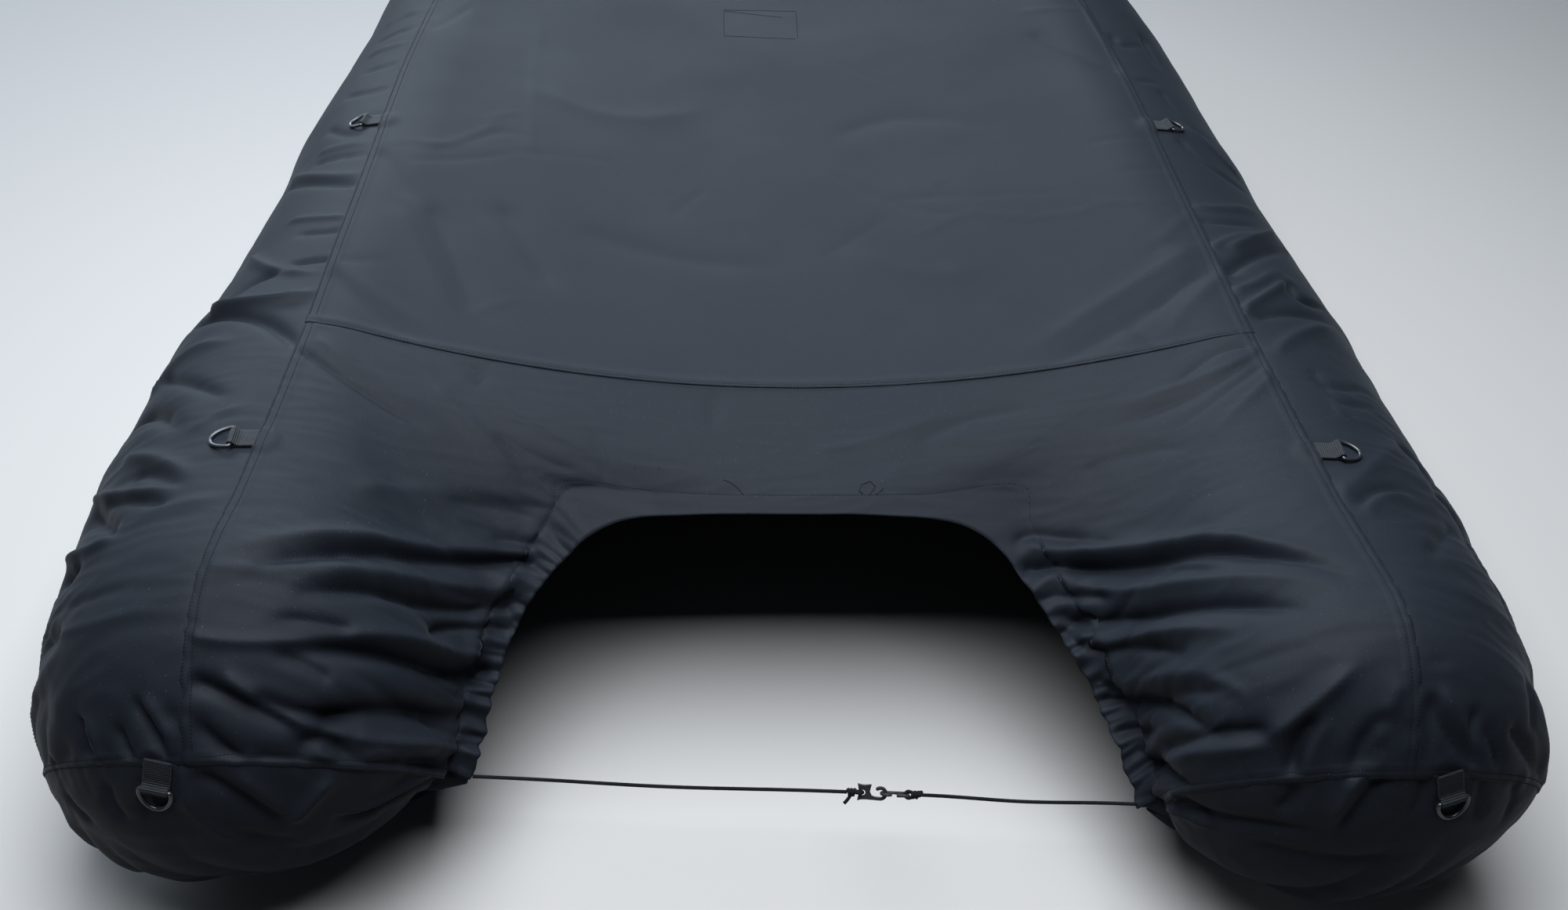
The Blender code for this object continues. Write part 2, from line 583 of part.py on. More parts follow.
def cap_base(side, f, g):
    """End cap: f round the end seam as above, g from that seam under to the cap's hem."""
    end = ENDS[side]
    centre = np.array([side * float(read(TUBE_ROWS, 1, end.centre_y)), end.centre_y, -TUBE_RADIUS])

    def scaled(point):
        depth = np.where(point[..., 1] < end.centre_y, end.length, TUBE_RADIUS)
        radius = np.full(depth.shape, TUBE_RADIUS)
        size = np.stack([side * radius, depth, radius], -1)
        return (point - centre) / size

    seam = scaled(cap_seam(side, f))
    first, last = scaled(cap_seam(side, np.array([0.0, 1.0])))
    first_turn, last_turn = math.atan2(first[1], first[0]), math.atan2(last[1], last[0])
    turn = first_turn + (last_turn - first_turn) * f
    rows = CAP_HEM_ROWS[side]
    shares = (0.0,) + tuple(row[0] for row in rows) + (1.0,)
    height = np.interp(f, shares, (first[2] - 0.05,) + tuple(row[1] for row in rows) + (last[2] - 0.06,))
    inner_reach = 0.985 * float(np.linalg.norm(last))
    reach = np.interp(f, shares, (CAP_HEM_CORNER[side],) + tuple(row[2] for row in rows) + (inner_reach,))
    level = np.sqrt(np.maximum(reach ** 2 - height ** 2, 0.01))
    hem = np.stack([level * np.cos(turn), level * np.sin(turn), height], -1)
    seam_reach, hem_reach = np.linalg.norm(seam, axis=-1), np.linalg.norm(hem, axis=-1)
    seam_way, hem_way = seam / seam_reach[..., None], hem / hem_reach[..., None]
    spread = np.arccos(np.clip((seam_way * hem_way).sum(-1), -1.0, 1.0))
    spread = np.maximum(spread, 1e-6)
    way = (np.sin((1.0 - g) * spread)[..., None] * seam_way + np.sin(g * spread)[..., None] * hem_way)
    way = way / np.sin(spread)[..., None] * (seam_reach + (hem_reach - seam_reach) * g)[..., None]
    y = centre[1] + way[..., 1] * np.where(way[..., 1] < 0.0, end.length, TUBE_RADIUS)
    x = centre[0] + side * TUBE_RADIUS * way[..., 0]
    return np.stack([x, y, centre[2] + TUBE_RADIUS * way[..., 2]], -1)


def centre_base(a, b):
    """Centre panel: a across from port to starboard, b from the cross seam to the bow."""
    corner_s = TIP - BOW_PATCH

    def seam(side, s):
        return tube_point(side, s, seam_angle(s))[..., :2]

    u = 2.0 * a - 1.0
    port, starboard = seam(-1, corner_s * b), seam(1, corner_s * b)
    front = seam(1, TIP - BOW_PATCH * np.abs(u)) * np.stack([np.sign(u), np.ones(u.shape)], -1)
    rear = np.stack([u * CROSS_SEAM_HALF, np.zeros(u.shape)], -1)
    a, b = a[..., None], b[..., None]
    corners = ((1.0 - b) * ((1.0 - a) * seam(-1, 0.0) + a * seam(1, 0.0))
               + b * ((1.0 - a) * seam(-1, corner_s) + a * seam(1, corner_s)))
    plan = (1.0 - a) * port + a * starboard + (1.0 - b) * rear + b * front - corners
    return np.concatenate([plan, top_height(plan[..., 0], plan[..., 1])[..., None]], -1)


# ---------------------------------------------------------------- folded cloth

# A cloth panel: its plain shape, folds, sides that are sewn with the gap left at each,
# whether its drawn edge is gathered, and 1 or -1 for the way its outside faces
Panel = namedtuple("Panel", "base folds sewn gathered turn")
SIDES = {
    "a0": (np.s_[0, :], np.s_[1, :]),
    "a1": (np.s_[-1, :], np.s_[-2, :]),
    "b0": (np.s_[:, 0], np.s_[:, 1]),
    "b1": (np.s_[:, -1], np.s_[:, -2]),
}


def side_shares(name, count):
    """Shares along one side of a panel."""
    run = np.linspace(0.0, 1.0, count)
    fixed = np.full(count, float(name[1]))
    return (fixed, run) if name[0] == "a" else (run, fixed)


def cross_unit(first, second):
    way = np.cross(first, second)
    return way / np.maximum(np.linalg.norm(way, axis=-1), 1e-12)[..., None]


def outward(panel, a, b):
    """Unit normals of the plain shape, facing out."""
    step = 0.004
    a_low, a_high = np.clip(a - step, 0.0, 1.0), np.clip(a + step, 0.0, 1.0)
    b_low, b_high = np.clip(b - step, 0.0, 1.0), np.clip(b + step, 0.0, 1.0)
    along = panel.base(a_high, b) - panel.base(a_low, b)
    across = panel.base(a, b_high) - panel.base(a, b_low)
    return cross_unit(along, across) * panel.turn


def fold_line(panel, row):
    """Points along a fold: a smooth curve through its three stations."""
    t = np.linspace(0.0, 1.0, 13)
    first, middle, last = (1.0 - t) * (1.0 - 2.0 * t), 4.0 * t * (1.0 - t), t * (2.0 * t - 1.0)
    a = first * row[0] + middle * row[2] + last * row[4]
    b = first * row[1] + middle * row[3] + last * row[5]
    return panel.base(np.clip(a, 0.0, 1.0), np.clip(b, 0.0, 1.0))


def fold_height(panel, row, points):
    """Height one fold gives the cloth at the points."""
    line = fold_line(panel, row)
    start, leg = line[:-1], np.diff(line, axis=0)
    offset = points[:, None] - start[None]
    along = np.clip((offset * leg).sum(-1) / np.maximum((leg * leg).sum(-1), 1e-12), 0.0, 1.0)
    distance = np.linalg.norm(offset - along[..., None] * leg, axis=-1)
    nearest = distance.argmin(axis=1)
    chosen = np.arange(len(points))
    t = (nearest + along[chosen, nearest]) / len(leg)
    taper = blend((t + 0.15) / 0.4) * blend((1.05 - t) / 0.5)
    width = max(row[6] / 1000.0, FOLD_LEAST_WIDTH)
    return row[7] / 1000.0 * taper * np.exp(-(distance[chosen, nearest] / width) ** 2)


def seam_fade(panel, points):
    """Folds die out towards the sewn sides."""
    edges = np.concatenate([panel.base(*side_shares(name, 160)) for name, _gap in panel.sewn])
    distance = np.linalg.norm(points[:, None] - edges[None], axis=-1).min(axis=1)
    return blend(distance / SEAM_FADE)


def gathers(a, b):
    """Small waves along the drawn edge of the arch, none across its top."""
    length = np.linalg.norm(np.diff(ARCH_EDGE[:, :3], axis=0), axis=1).sum()
    wave = sum(depth * np.sin(2.0 * np.pi * a * length / period) for period, depth in GATHER_WAVES)
    beside = blend((GATHERED_SHARE - np.minimum(a, 1.0 - a)) / 0.05)
    return wave * beside * (1.0 - blend(b / GATHER_REACH))


def folded(panel, a, b):
    """The panel's shape with its folds at a grid of shares."""
    plain = panel.base(a, b)
    points = plain.reshape(-1, 3)
    height = sum(fold_height(panel, row, points) for row in panel.folds).reshape(a.shape)
    if panel.gathered:
        height = height + gathers(a, b)
    height = height * seam_fade(panel, points).reshape(a.shape)
    return plain + outward(panel, a, b) * height[..., None]


def with_gaps(panel, points):
    """The grid with its sewn sides drawn in, so that pieces don't touch."""
    moved = points.copy()
    for name, gap in panel.sewn:
        edge, inner = SIDES[name]
        step = points[inner] - points[edge]
        moved[edge] += gap * step / np.linalg.norm(step, axis=-1)[..., None]
    return moved


# ---------------------------------------------------------------- stations shared across seams

def rear_columns():
    leg = np.linspace(0.0, LEG_SHARE, LEG_COLUMNS + 1)
    middle = np.linspace(LEG_SHARE, 1.0 - LEG_SHARE, MIDDLE_COLUMNS + 1)
    return np.concatenate([leg[:-1], middle, 1.0 - leg[-2::-1]])


def rear_rows():
    return np.concatenate([[0.0], np.linspace(FACING_SHARE / 2.0, 1.0, REAR_ROWS)])


def centre_columns():
    return np.linspace(0.0, 1.0, MIDDLE_COLUMNS + 1)


def centre_rows():
    return np.linspace(0.0, 1.0, CENTRE_ROWS + 1) ** 1.2


def side_columns(side):
    """Stations of a side panel: the rear panel's, the centre panel's, then round the bow."""
    leg = np.linspace(0.0, LEG_SHARE, LEG_COLUMNS + 1)[1:]
    beside_rear = ENDS[side].seam_y * (1.0 - leg / LEG_SHARE)
    beside_centre = (TIP - BOW_PATCH) * centre_rows()[1:]
    columns = centre_columns()
    round_bow = TIP - BOW_PATCH * np.abs(2.0 * columns[columns <= 0.5][1:] - 1.0)
    s = np.concatenate([beside_rear, beside_centre, round_bow])
    first = end_seam_y(side, seam_angle(s))
    return np.concatenate([[0.0], (s - first) / (TIP - first)])


def side_rows():
    return np.linspace(0.0, 1.0, SIDE_ROWS + 1)


def cap_columns():
    outside = (1.0 - side_rows()[::-1]) / 2.0
    inside = 1.0 - rear_rows()[::-1] / 2.0
    return np.concatenate([outside, inside[1:]])


def cap_rows():
    return np.linspace(0.0, 1.0, CAP_ROWS + 1)


def panel_table():
    """Every cloth piece: its panel and the stations of its grid."""
    table = {
        "centre_panel": (
            Panel(centre_base, CENTRE_FOLDS,
                  (("a0", GAP), ("a1", GAP), ("b0", GAP), ("b1", GAP)), False, 1),
            centre_columns(), centre_rows()),
        "rear_panel": (
            Panel(rear_base, REAR_FOLDS, (("a0", END_GAP), ("a1", END_GAP), ("b1", GAP)), True, 1),
            rear_columns(), rear_rows()),
    }
    for side, word, folds, cap_folds in ((-1, "left", PORT_FOLDS, PORT_CAP_FOLDS),
                                         (1, "right", STARBOARD_FOLDS, STARBOARD_CAP_FOLDS)):
        table["side_panel_" + word] = (
            Panel(partial(side_base, side), folds,
                  (("a0", END_GAP), ("a1", GAP), ("b0", GAP)), False, -side),
            side_columns(side), side_rows())
        table["end_cap_" + word] = (
            Panel(partial(cap_base, side), cap_folds, (("b0", END_GAP),), False, side),
            cap_columns(), cap_rows())
    return table


# ---------------------------------------------------------------- making the pieces

def clear_scene():
    for obj in list(bpy.data.objects):
        bpy.data.objects.remove(obj, do_unlink=True)


def make_collection(name):
    collection = bpy.data.collections.new(name)
    bpy.context.scene.collection.children.link(collection)
    return collection


def make_material(row):
    name, colour, roughness, metallic = row
    material = bpy.data.materials.new(name)
    material.use_nodes = True
    shader = material.node_tree.nodes["Principled BSDF"]
    shader.inputs["Base Color"].default_value = (*colour, 1.0)
    shader.inputs["Roughness"].default_value = roughness
    shader.inputs["Metallic"].default_value = metallic
    material.diffuse_color = (*colour, 1.0)
    return material


def place(name, data, collection, parent, matrix, material):
    """One object for a piece, in the cover axes that its parent carries."""
    obj = bpy.data.objects.new(name, data)
    collection.objects.link(obj)
    obj.parent = parent
    obj.matrix_local = matrix
    data.materials.append(material)
    return obj


def panel_object(name, panel, points, collection, parent, material):
    """A cloth piece: a grid bent to the panel's shape and thickened inward."""
    columns, rows = points.shape[0] - 1, points.shape[1] - 1
    bm = bmesh.new()
    bmesh.ops.create_grid(bm, x_segments=columns, y_segments=rows, size=0.5)
    for vert in bm.verts:
        column = round((vert.co.x + 0.5) * columns)
        row = round((vert.co.y + 0.5) * rows)
        vert.co = points[column, row]
    if panel.turn < 0:
        bmesh.ops.reverse_faces(bm, faces=bm.faces)
    for face in bm.faces:
        face.smooth = True
    mesh = bpy.data.meshes.new(name)
    bm.to_mesh(mesh)
    bm.free()
    obj = place(name, mesh, collection, parent, Matrix.Identity(4), material)
    cloth = obj.modifiers.new("cloth", "SOLIDIFY")
    cloth.thickness = CLOTH
    cloth.offset = -1.0
    return obj


def curve_data(name, splines, cyclic=True):
    """A curve through straight-sided splines given as lists of points."""
    curve = bpy.data.curves.new(name, "CURVE")
    curve.dimensions = "3D"
    for points in splines:
        spline = curve.splines.new("POLY")
        spline.points.add(len(points) - 1)
        for item, point in zip(spline.points, points):
            item.co = (*point, 1.0)
        spline.use_cyclic_u = cyclic
    return curve


def plate_data(name, outlines, thickness):
    """A flat plate from its outline and holes, lying in its own XY plane."""
    curve = curve_data(name, [[(x, y, 0.0) for x, y in outline] for outline in outlines])
    curve.dimensions = "2D"
    curve.fill_mode = "BOTH"
    curve.extrude = thickness / 2.0
    return curve


def wire_data(name, points, radius, cyclic):
    """A round wire along a path, with closed ends."""
    curve = curve_data(name, [points], cyclic)
    curve.bevel_depth = radius
    curve.bevel_resolution = 2
    curve.use_fill_caps = not cyclic
    return curve


def arc(centre, radius, start, stop, count):
    """Points on an arc between two angles in degrees."""
    angles = [math.radians(start + (stop - start) * i / (count - 1)) for i in range(count)]
    return [(centre[0] + radius * math.cos(v), centre[1] + radius * math.sin(v)) for v in angles]


def circle(centre, radius, count):
    return arc(centre, radius, 0.0, 360.0 * (count - 1) / count, count)


def axes(origin, x_axis, y_axis, z_axis):
    matrix = Matrix((x_axis, y_axis, z_axis)).transposed().to_4x4()
    matrix.translation = origin
    return matrix


# ---------------------------------------------------------------- tabs and rings

def skin_tree(grids):
    """All the cloth's outer faces, to measure heights over them."""
    verts, faces = [], []
    for points in grids:
        columns, rows = points.shape[:2]
        first = len(verts)
        verts.extend(Vector(point) for point in points.reshape(-1, 3))
        for i in range(columns - 1):
            for j in range(rows - 1):
                corner = first + i * rows + j
                faces.append((corner, corner + rows, corner + rows + 1, corner + 1))
    return BVHTree.FromPolygons(verts, faces)


def cloth_height(skin, point, up):
    """Height of the cloth over a point, along up."""
    reach = 0.05
    hit = skin.ray_cast(point + up * reach, -up, 2.0 * reach)
    return -reach if hit[0] is None else reach - hit[3]


def highest(skin, origin, along, across, up, t, half_width):
    return max(cloth_height(skin, origin + along * t + across * (half_width * w), up)
               for w in (-1.0, -0.5, 0.0, 0.5, 1.0))


def tab_outline():
    """A tab's edge: two plies lying flat, opening into an eye for the ring's bar."""
    hole = RING_WIRE + RING_CLEARANCE
    outer = hole + PLY
    eye = (TAB_LENGTH, outer)
    outline = [(0.0, 0.0), (TAB_LENGTH * 0.5, 0.0)] + arc(eye, outer, -90.0, 140.0, 10)
    outline += [(TAB_LENGTH - 1.9 * outer, 2.2 * PLY), (0.0, 2.0 * PLY)]
    return eye, [outline, circle(eye, hole, 12)]


def ring_path():
    """A D-ring's wire in its own plane: x along its straight bar, y away from it."""
    start = math.degrees(math.asin(0.18))
    bend = arc((0.0, 0.0), 1.0, start, 180.0 - start, 11)
    low = RING_SHOULDER / RING_DEPTH
    rounded = [(RING_HALF_WIDTH * x / math.cos(math.radians(start)),
                RING_DEPTH * (low + (1.0 - low) * (y - 0.18) / 0.82)) for x, y in bend]
    corner = [(RING_BAR_HALF + 0.7 * (RING_HALF_WIDTH - RING_BAR_HALF), 0.12 * RING_SHOULDER + 0.0005)]
    port = [(-x, y) for x, y in corner]
    return [(-RING_BAR_HALF, 0.0), (RING_BAR_HALF, 0.0)] + corner + rounded + port


def tab_frame(panel, row):
    """Origin and axes of a tab: along it away from the seam, out of the cloth, and across."""
    _name, _panel, a, b, end_a, end_b = row
    shares = np.array([[a], [end_a]]), np.array([[b], [end_b]])
    root, end = (Vector(point[0]) for point in folded(panel, *shares))
    along = (end - root).normalized()
    up = Vector(outward(panel, np.array([[(a + end_a) / 2.0]]), np.array([[(b + end_b) / 2.0]]))[0, 0])
    across = along.cross(up).normalized()
    return root, along, across.cross(along), across


def add_tabs(panels, skin, collection, parent, webbing, plastic):
    eye, outlines = tab_outline()
    for row in TAB_ROWS:
        name = row[0]
        root, along, up, across = tab_frame(panels[row[1]], row)
        root = root + along * TAB_START
        lift = CLEARANCE + max(highest(skin, root, along, across, up, t, TAB_WIDTH / 2.0)
                               for t in np.linspace(0.0, TAB_LENGTH + 0.004, 8))
        root = root + up * lift
        plate = plate_data("tab_" + name, outlines, TAB_WIDTH)
        place("tab_" + name, plate, collection, parent, axes(root, along, up, across), webbing)
        bar = root + along * eye[0] + up * eye[1]
        ring_half = RING_HALF_WIDTH + RING_WIRE
        slope = max((highest(skin, bar, along, across, up, t, ring_half) + RING_WIRE + CLEARANCE) / t
                    for t in np.linspace(0.010, RING_DEPTH + RING_WIRE, 6))
        reach = (along + up * slope).normalized()
        path = [(x, y, 0.0) for x, y in ring_path()]
        wire = wire_data("ring_" + name, path, RING_WIRE, True)
        matrix = axes(bar, across, reach, across.cross(reach))
        place("ring_" + name, wire, collection, parent, matrix, plastic)


# ---------------------------------------------------------------- draw cord and hooks

def hook_outline():
    """A hook: a flared plate with an eye for the cord at one end and a bend at the other."""
    centre = (HOOK_BEND_AT, 0.0)
    outside = arc(centre, HOOK_BEND_OUTER, -90.0, 125.0, 13)
    inside = arc(centre, HOOK_BEND_INNER, 125.0, -100.0, 11)
    outline = list(HOOK_BODY_LOWER) + outside + inside + list(HOOK_BODY_UPPER)
    return [outline, circle(HOOK_EYE_AT, HOOK_EYE_RADIUS, 14)]


def add_knot(name, collection, helpers, parent, matrix, material):
    """A knot beside a hook's eye, with the cord's short free tail."""
    bm = bmesh.new()
    bmesh.ops.create_uvsphere(bm, u_segments=12, v_segments=8, radius=1.0)
    bmesh.ops.scale(bm, vec=KNOT_RADII, verts=bm.verts)
    bmesh.ops.translate(bm, vec=(KNOT_AT, 0.0, 0.0), verts=bm.verts)
    mesh = bpy.data.meshes.new(name)
    bm.to_mesh(mesh)
    bm.free()
    knot = place(name, mesh, collection, parent, matrix, material)
    bm = bmesh.new()
    tilt = Matrix.Rotation(math.radians(KNOT_TAIL_TILT), 4, "Z")
    middle = Matrix.Translation((KNOT_AT, 0.0, 0.0))
    shift = Matrix.Translation((-KNOT_TAIL / 2.0, 0.0, 0.0))
    turn = Matrix.Rotation(math.radians(90.0), 4, "Y")
    bmesh.ops.create_cone(bm, cap_ends=True, segments=10, radius1=CORD_RADIUS, radius2=CORD_RADIUS,
                          depth=KNOT_TAIL, matrix=middle @ tilt @ shift @ turn)
    mesh = bpy.data.meshes.new(name + "_tail")
    bm.to_mesh(mesh)
    bm.free()
    tail = place(name + "_tail", mesh, helpers, parent, matrix, material)
    tail.hide_render = True
    tail.display_type = "WIRE"
    join = knot.modifiers.new("tail", "BOOLEAN")
    join.operation = "UNION"
    join.solver = "EXACT"
    join.object = tail


def add_draw_cord(collection, helpers, parent, plastic, braid):
    """Both runs of cord from their corners to the hooked plates between them."""
    corners = [Vector((side * end.corner_x, end.corner_y, end.corner_z))
               for side, end in sorted(ENDS.items())]
    line = corners[1] - corners[0]
    along = line.normalized()
    out = Vector(HOOK_FACING)
    out = (out - along * out.dot(along)).normalized()
    up = out.cross(along)
    left = corners[0] + line * HOOK_SHARE
    right = left + along * (2.0 * HOOK_BEND_AT + HOOK_LINK)
    frames = {
        "left": (corners[0], along, axes(left, along, up, out)),
        "right": (corners[1], -along, axes(right, -along, out, up)),
    }
    for word, (corner, way, matrix) in frames.items():
        place("hook_" + word, plate_data("hook_" + word, hook_outline(), HOOK_THICKNESS),
              collection, parent, matrix, plastic)
        add_knot("knot_" + word, collection, helpers, parent, matrix, braid)
        stop = matrix.translation + way * (KNOT_AT - KNOT_RADII[0] - CLEARANCE)
        start = corner + way * CORD_START
        count = CORD_POINTS
        path = [start.lerp(stop, i / (count - 1)) for i in range(count)]
        for i, point in enumerate(path):
            point.z -= CORD_SAG * math.sin(math.pi * 0.5 * i / (count - 1)) * (1.0 - i / (count - 1))
        wire = wire_data("cord_" + word, [tuple(point) for point in path], CORD_RADIUS, False)
        place("cord_" + word, wire, collection, parent, Matrix.Identity(4), braid)


def main():
    clear_scene()
    collection = make_collection(COLLECTION)
    helpers = make_collection(HELPERS)
    carrier = bpy.data.objects.new("cover_axes", None)
    collection.objects.link(carrier)
    carrier.location = (0.0, CROSS_SEAM_Y, CROWN_Z)
    cloth, webbing, rings, hooks, braid = (
        make_material(row) for row in (BLACK_CLOTH, WEBBING, RING_PLASTIC, HOOK_PLASTIC, CORD_BRAID))
    panels, grids = {}, []
    for name, (panel, columns, rows) in panel_table().items():
        a, b = np.meshgrid(columns, rows, indexing="ij")
        points = with_gaps(panel, folded(panel, a, b))
        panel_object(name, panel, points, collection, carrier, cloth)
        panels[name] = panel
        grids.append(points)
    add_tabs(panels, skin_tree(grids), collection, carrier, webbing, rings)
    add_draw_cord(collection, helpers, carrier, hooks, braid)


main()
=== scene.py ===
import math
from collections import namedtuple
from functools import partial

import bmesh
import bpy
import numpy as np
from mathutils import Matrix, Vector, noise
from mathutils.kdtree import KDTree


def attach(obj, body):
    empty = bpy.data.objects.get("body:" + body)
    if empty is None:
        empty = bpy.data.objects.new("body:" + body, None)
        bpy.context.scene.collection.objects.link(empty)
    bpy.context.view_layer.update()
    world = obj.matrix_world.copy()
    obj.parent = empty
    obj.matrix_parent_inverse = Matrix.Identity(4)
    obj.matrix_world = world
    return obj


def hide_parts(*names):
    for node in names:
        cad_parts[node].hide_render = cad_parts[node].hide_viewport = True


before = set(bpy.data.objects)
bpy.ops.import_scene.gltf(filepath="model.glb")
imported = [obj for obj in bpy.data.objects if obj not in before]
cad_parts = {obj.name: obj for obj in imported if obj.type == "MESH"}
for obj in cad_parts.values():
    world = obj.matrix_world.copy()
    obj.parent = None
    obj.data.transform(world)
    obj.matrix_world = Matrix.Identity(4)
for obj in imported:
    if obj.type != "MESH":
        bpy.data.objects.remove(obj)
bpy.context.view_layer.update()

bl_info = {
    "name": "Boat cover",
    "version": (1, 0, 0),
    "blender": (4, 5, 0),
    "location": "View3D > Sidebar > Boat cover",
    "description": "Dresses the boat cover's frame with its cloth, stitching, tabs, rings and cord",
    "category": "Object",
}

# ---------------------------------------------------------------- the cover's measures, in metres
# Panels are worked out in cover axes: x to starboard, y forward from the cross seam, z up
# from the tube crowns.  ORIGIN carries them to the frame.

ORIGIN = np.array([0.0, -1.03, 0.0696])

# Tubes under the cloth: y, distance of the tube's axis from the centreline,
# and how far outboard of that axis the side seam runs
TUBE_RADIUS = 0.240
TUBE_ROWS = (
    (-0.80, 0.660, 0.004),
    (-0.50, 0.659, 0.002),
    (-0.36, 0.658, -0.010),
    (-0.20, 0.656, -0.014),
    (0.00, 0.650, -0.012),
    (0.20, 0.636, 0.003),
    (0.36, 0.625, 0.013),
    (0.55, 0.611, 0.028),
    (0.80, 0.608, 0.031),
    (1.50, 0.600, 0.028),
    (3.00, 0.600, 0.028),
)
AXIS_START = -0.80
CROSS_SEAM_HALF = 0.638

# Bow: where the tubes start to close in, how far they run from there, and their rise
BOW_START = 0.55
BOW_LENGTH = 1.95
BOW_POWER = 2.2
BOW_RISE = 0.06
BOW_RISE_START = 0.8
BOW_RISE_LENGTH = 1.9
BOW_PATCH = 0.42

# Tube ends, port (-1) and starboard (1): where the rounding starts, its length,
# y of the end seam on top, and the corner where the draw cord comes out
End = namedtuple("End", "centre_y length seam_y corner_x corner_y corner_z")
ENDS = {
    -1: End(-0.410, 0.240, -0.630, 0.393, -0.490, -0.340),
    1: End(-0.520, 0.165, -0.666, 0.427, -0.537, -0.340),
}

# Hem under the tubes, as an angle round the tube from its crown
HEM_ANGLE = math.radians(130)

# Cap hem, port (-1) and starboard (1): share of the way round, height in tube radii from
# the axis and reach in tube radii; then its reach at the outer corner, the inner corner's
# reach against its seam's, and how far it hangs below the seam at both
CAP_HEM_ROWS = {
    -1: ((0.12, -0.63, 1.15), (0.30, -0.64, 1.10), (0.50, -0.69, 1.01),
         (0.80, -0.68, 1.01), (0.93, -0.58, 1.00)),
    1: ((0.12, -0.65, 1.00), (0.30, -0.61, 1.00), (0.50, -0.60, 0.99),
        (0.80, -0.55, 0.97), (0.93, -0.50, 0.97)),
}
CAP_HEM_CORNER = {-1: 1.09, 1: 1.00}
CAP_HEM_INNER = 0.985
CAP_HEM_DROPS = (0.05, 0.06)

# How far the cloth stands out at the outer corner of each tube end, port and starboard
CORNER_BULGE = {-1: 0.028, 1: 0.003}
CORNER_ANGLE = math.radians(124)
CORNER_SPREAD = math.radians(36)
CORNER_LENGTH = 0.13

# How far the top sags below the crowns between the tubes: y, sag
SAG_ROWS = (
    (-0.3, 0.100),
    (0.0, 0.100),
    (0.5, 0.088),
    (1.0, 0.072),
    (1.8, 0.045),
    (2.3, 0.020),
    (2.6, 0.000),
)

# How far the loose side panels stand off the tubes: y, port, starboard
SWELL_ROWS = (
    (-0.60, -0.006, -0.036),
    (-0.54, -0.010, -0.030),
    (-0.49, -0.009, -0.004),
    (-0.42, -0.004, 0.003),
    (-0.35, 0.004, 0.001),
    (-0.27, 0.007, 0.006),
    (-0.19, 0.013, 0.000),
    (-0.10, 0.010, 0.000),
    (0.00, 0.009, -0.001),
    (0.08, 0.012, 0.004),
    (0.14, 0.000, 0.008),
    (0.25, -0.006, 0.008),
    (0.33, -0.006, 0.008),
    (0.50, -0.006, 0.009),
    (0.62, -0.005, 0.013),
    (0.72, -0.003, 0.009),
    (0.86, -0.010, 0.007),
    (1.00, -0.016, 0.010),
    (1.15, -0.020, 0.012),
    (1.35, -0.012, 0.008),
    (1.60, 0.000, 0.000),
)

# Arch cut-out, from the draw cord's corners (1) to its top (0): share of the way down,
# half width to port and to starboard, and the facing stitch line's offset from the edge
# (outboard, forward, up)
ARCH_TOP_Y = -0.22
ARCH_TOP_Z = -0.145
ARCH_ROWS = (
    (1.00, 0.393, 0.427, 0.028, 0.0000, 0.022),
    (0.92, 0.388, 0.419, 0.030, 0.0000, 0.022),
    (0.84, 0.378, 0.413, 0.032, 0.0000, 0.021),
    (0.70, 0.372, 0.390, 0.035, 0.0000, 0.020),
    (0.55, 0.360, 0.370, 0.036, 0.0000, 0.020),
    (0.45, 0.348, 0.350, 0.036, 0.0040, 0.019),
    (0.35, 0.330, 0.328, 0.036, 0.0080, 0.017),
    (0.25, 0.308, 0.305, 0.036, 0.0200, 0.015),
    (0.15, 0.280, 0.283, 0.034, 0.0410, 0.018),
    (0.08, 0.254, 0.258, 0.040, 0.0620, 0.027),
    (0.03, 0.222, 0.225, 0.030, 0.0480, 0.020),
    (0.01, 0.185, 0.180, 0.012, 0.0320, 0.0125),
    (0.00, 0.100, 0.100, 0.000, 0.0274, 0.0095),
    (0.00, 0.000, 0.000, 0.000, 0.0274, 0.0095),
)
LEG_SHARE = 0.345
FACING_SHARE = 0.14

# How far off the tube's skin cloth still counts as lying on it, beside and across the boat
BESIDE_SLACK = 0.1
ACROSS_SLACK = 0.002


def folds(parts, rows):
    """Folds from rows: start a, b; middle a, b; end a, b in so many parts of the panel.

    After these come the half width and the height in millimetres; a trough is negative.
    """
    return [tuple(value / parts for value in row[:6]) + row[6:] for row in rows]


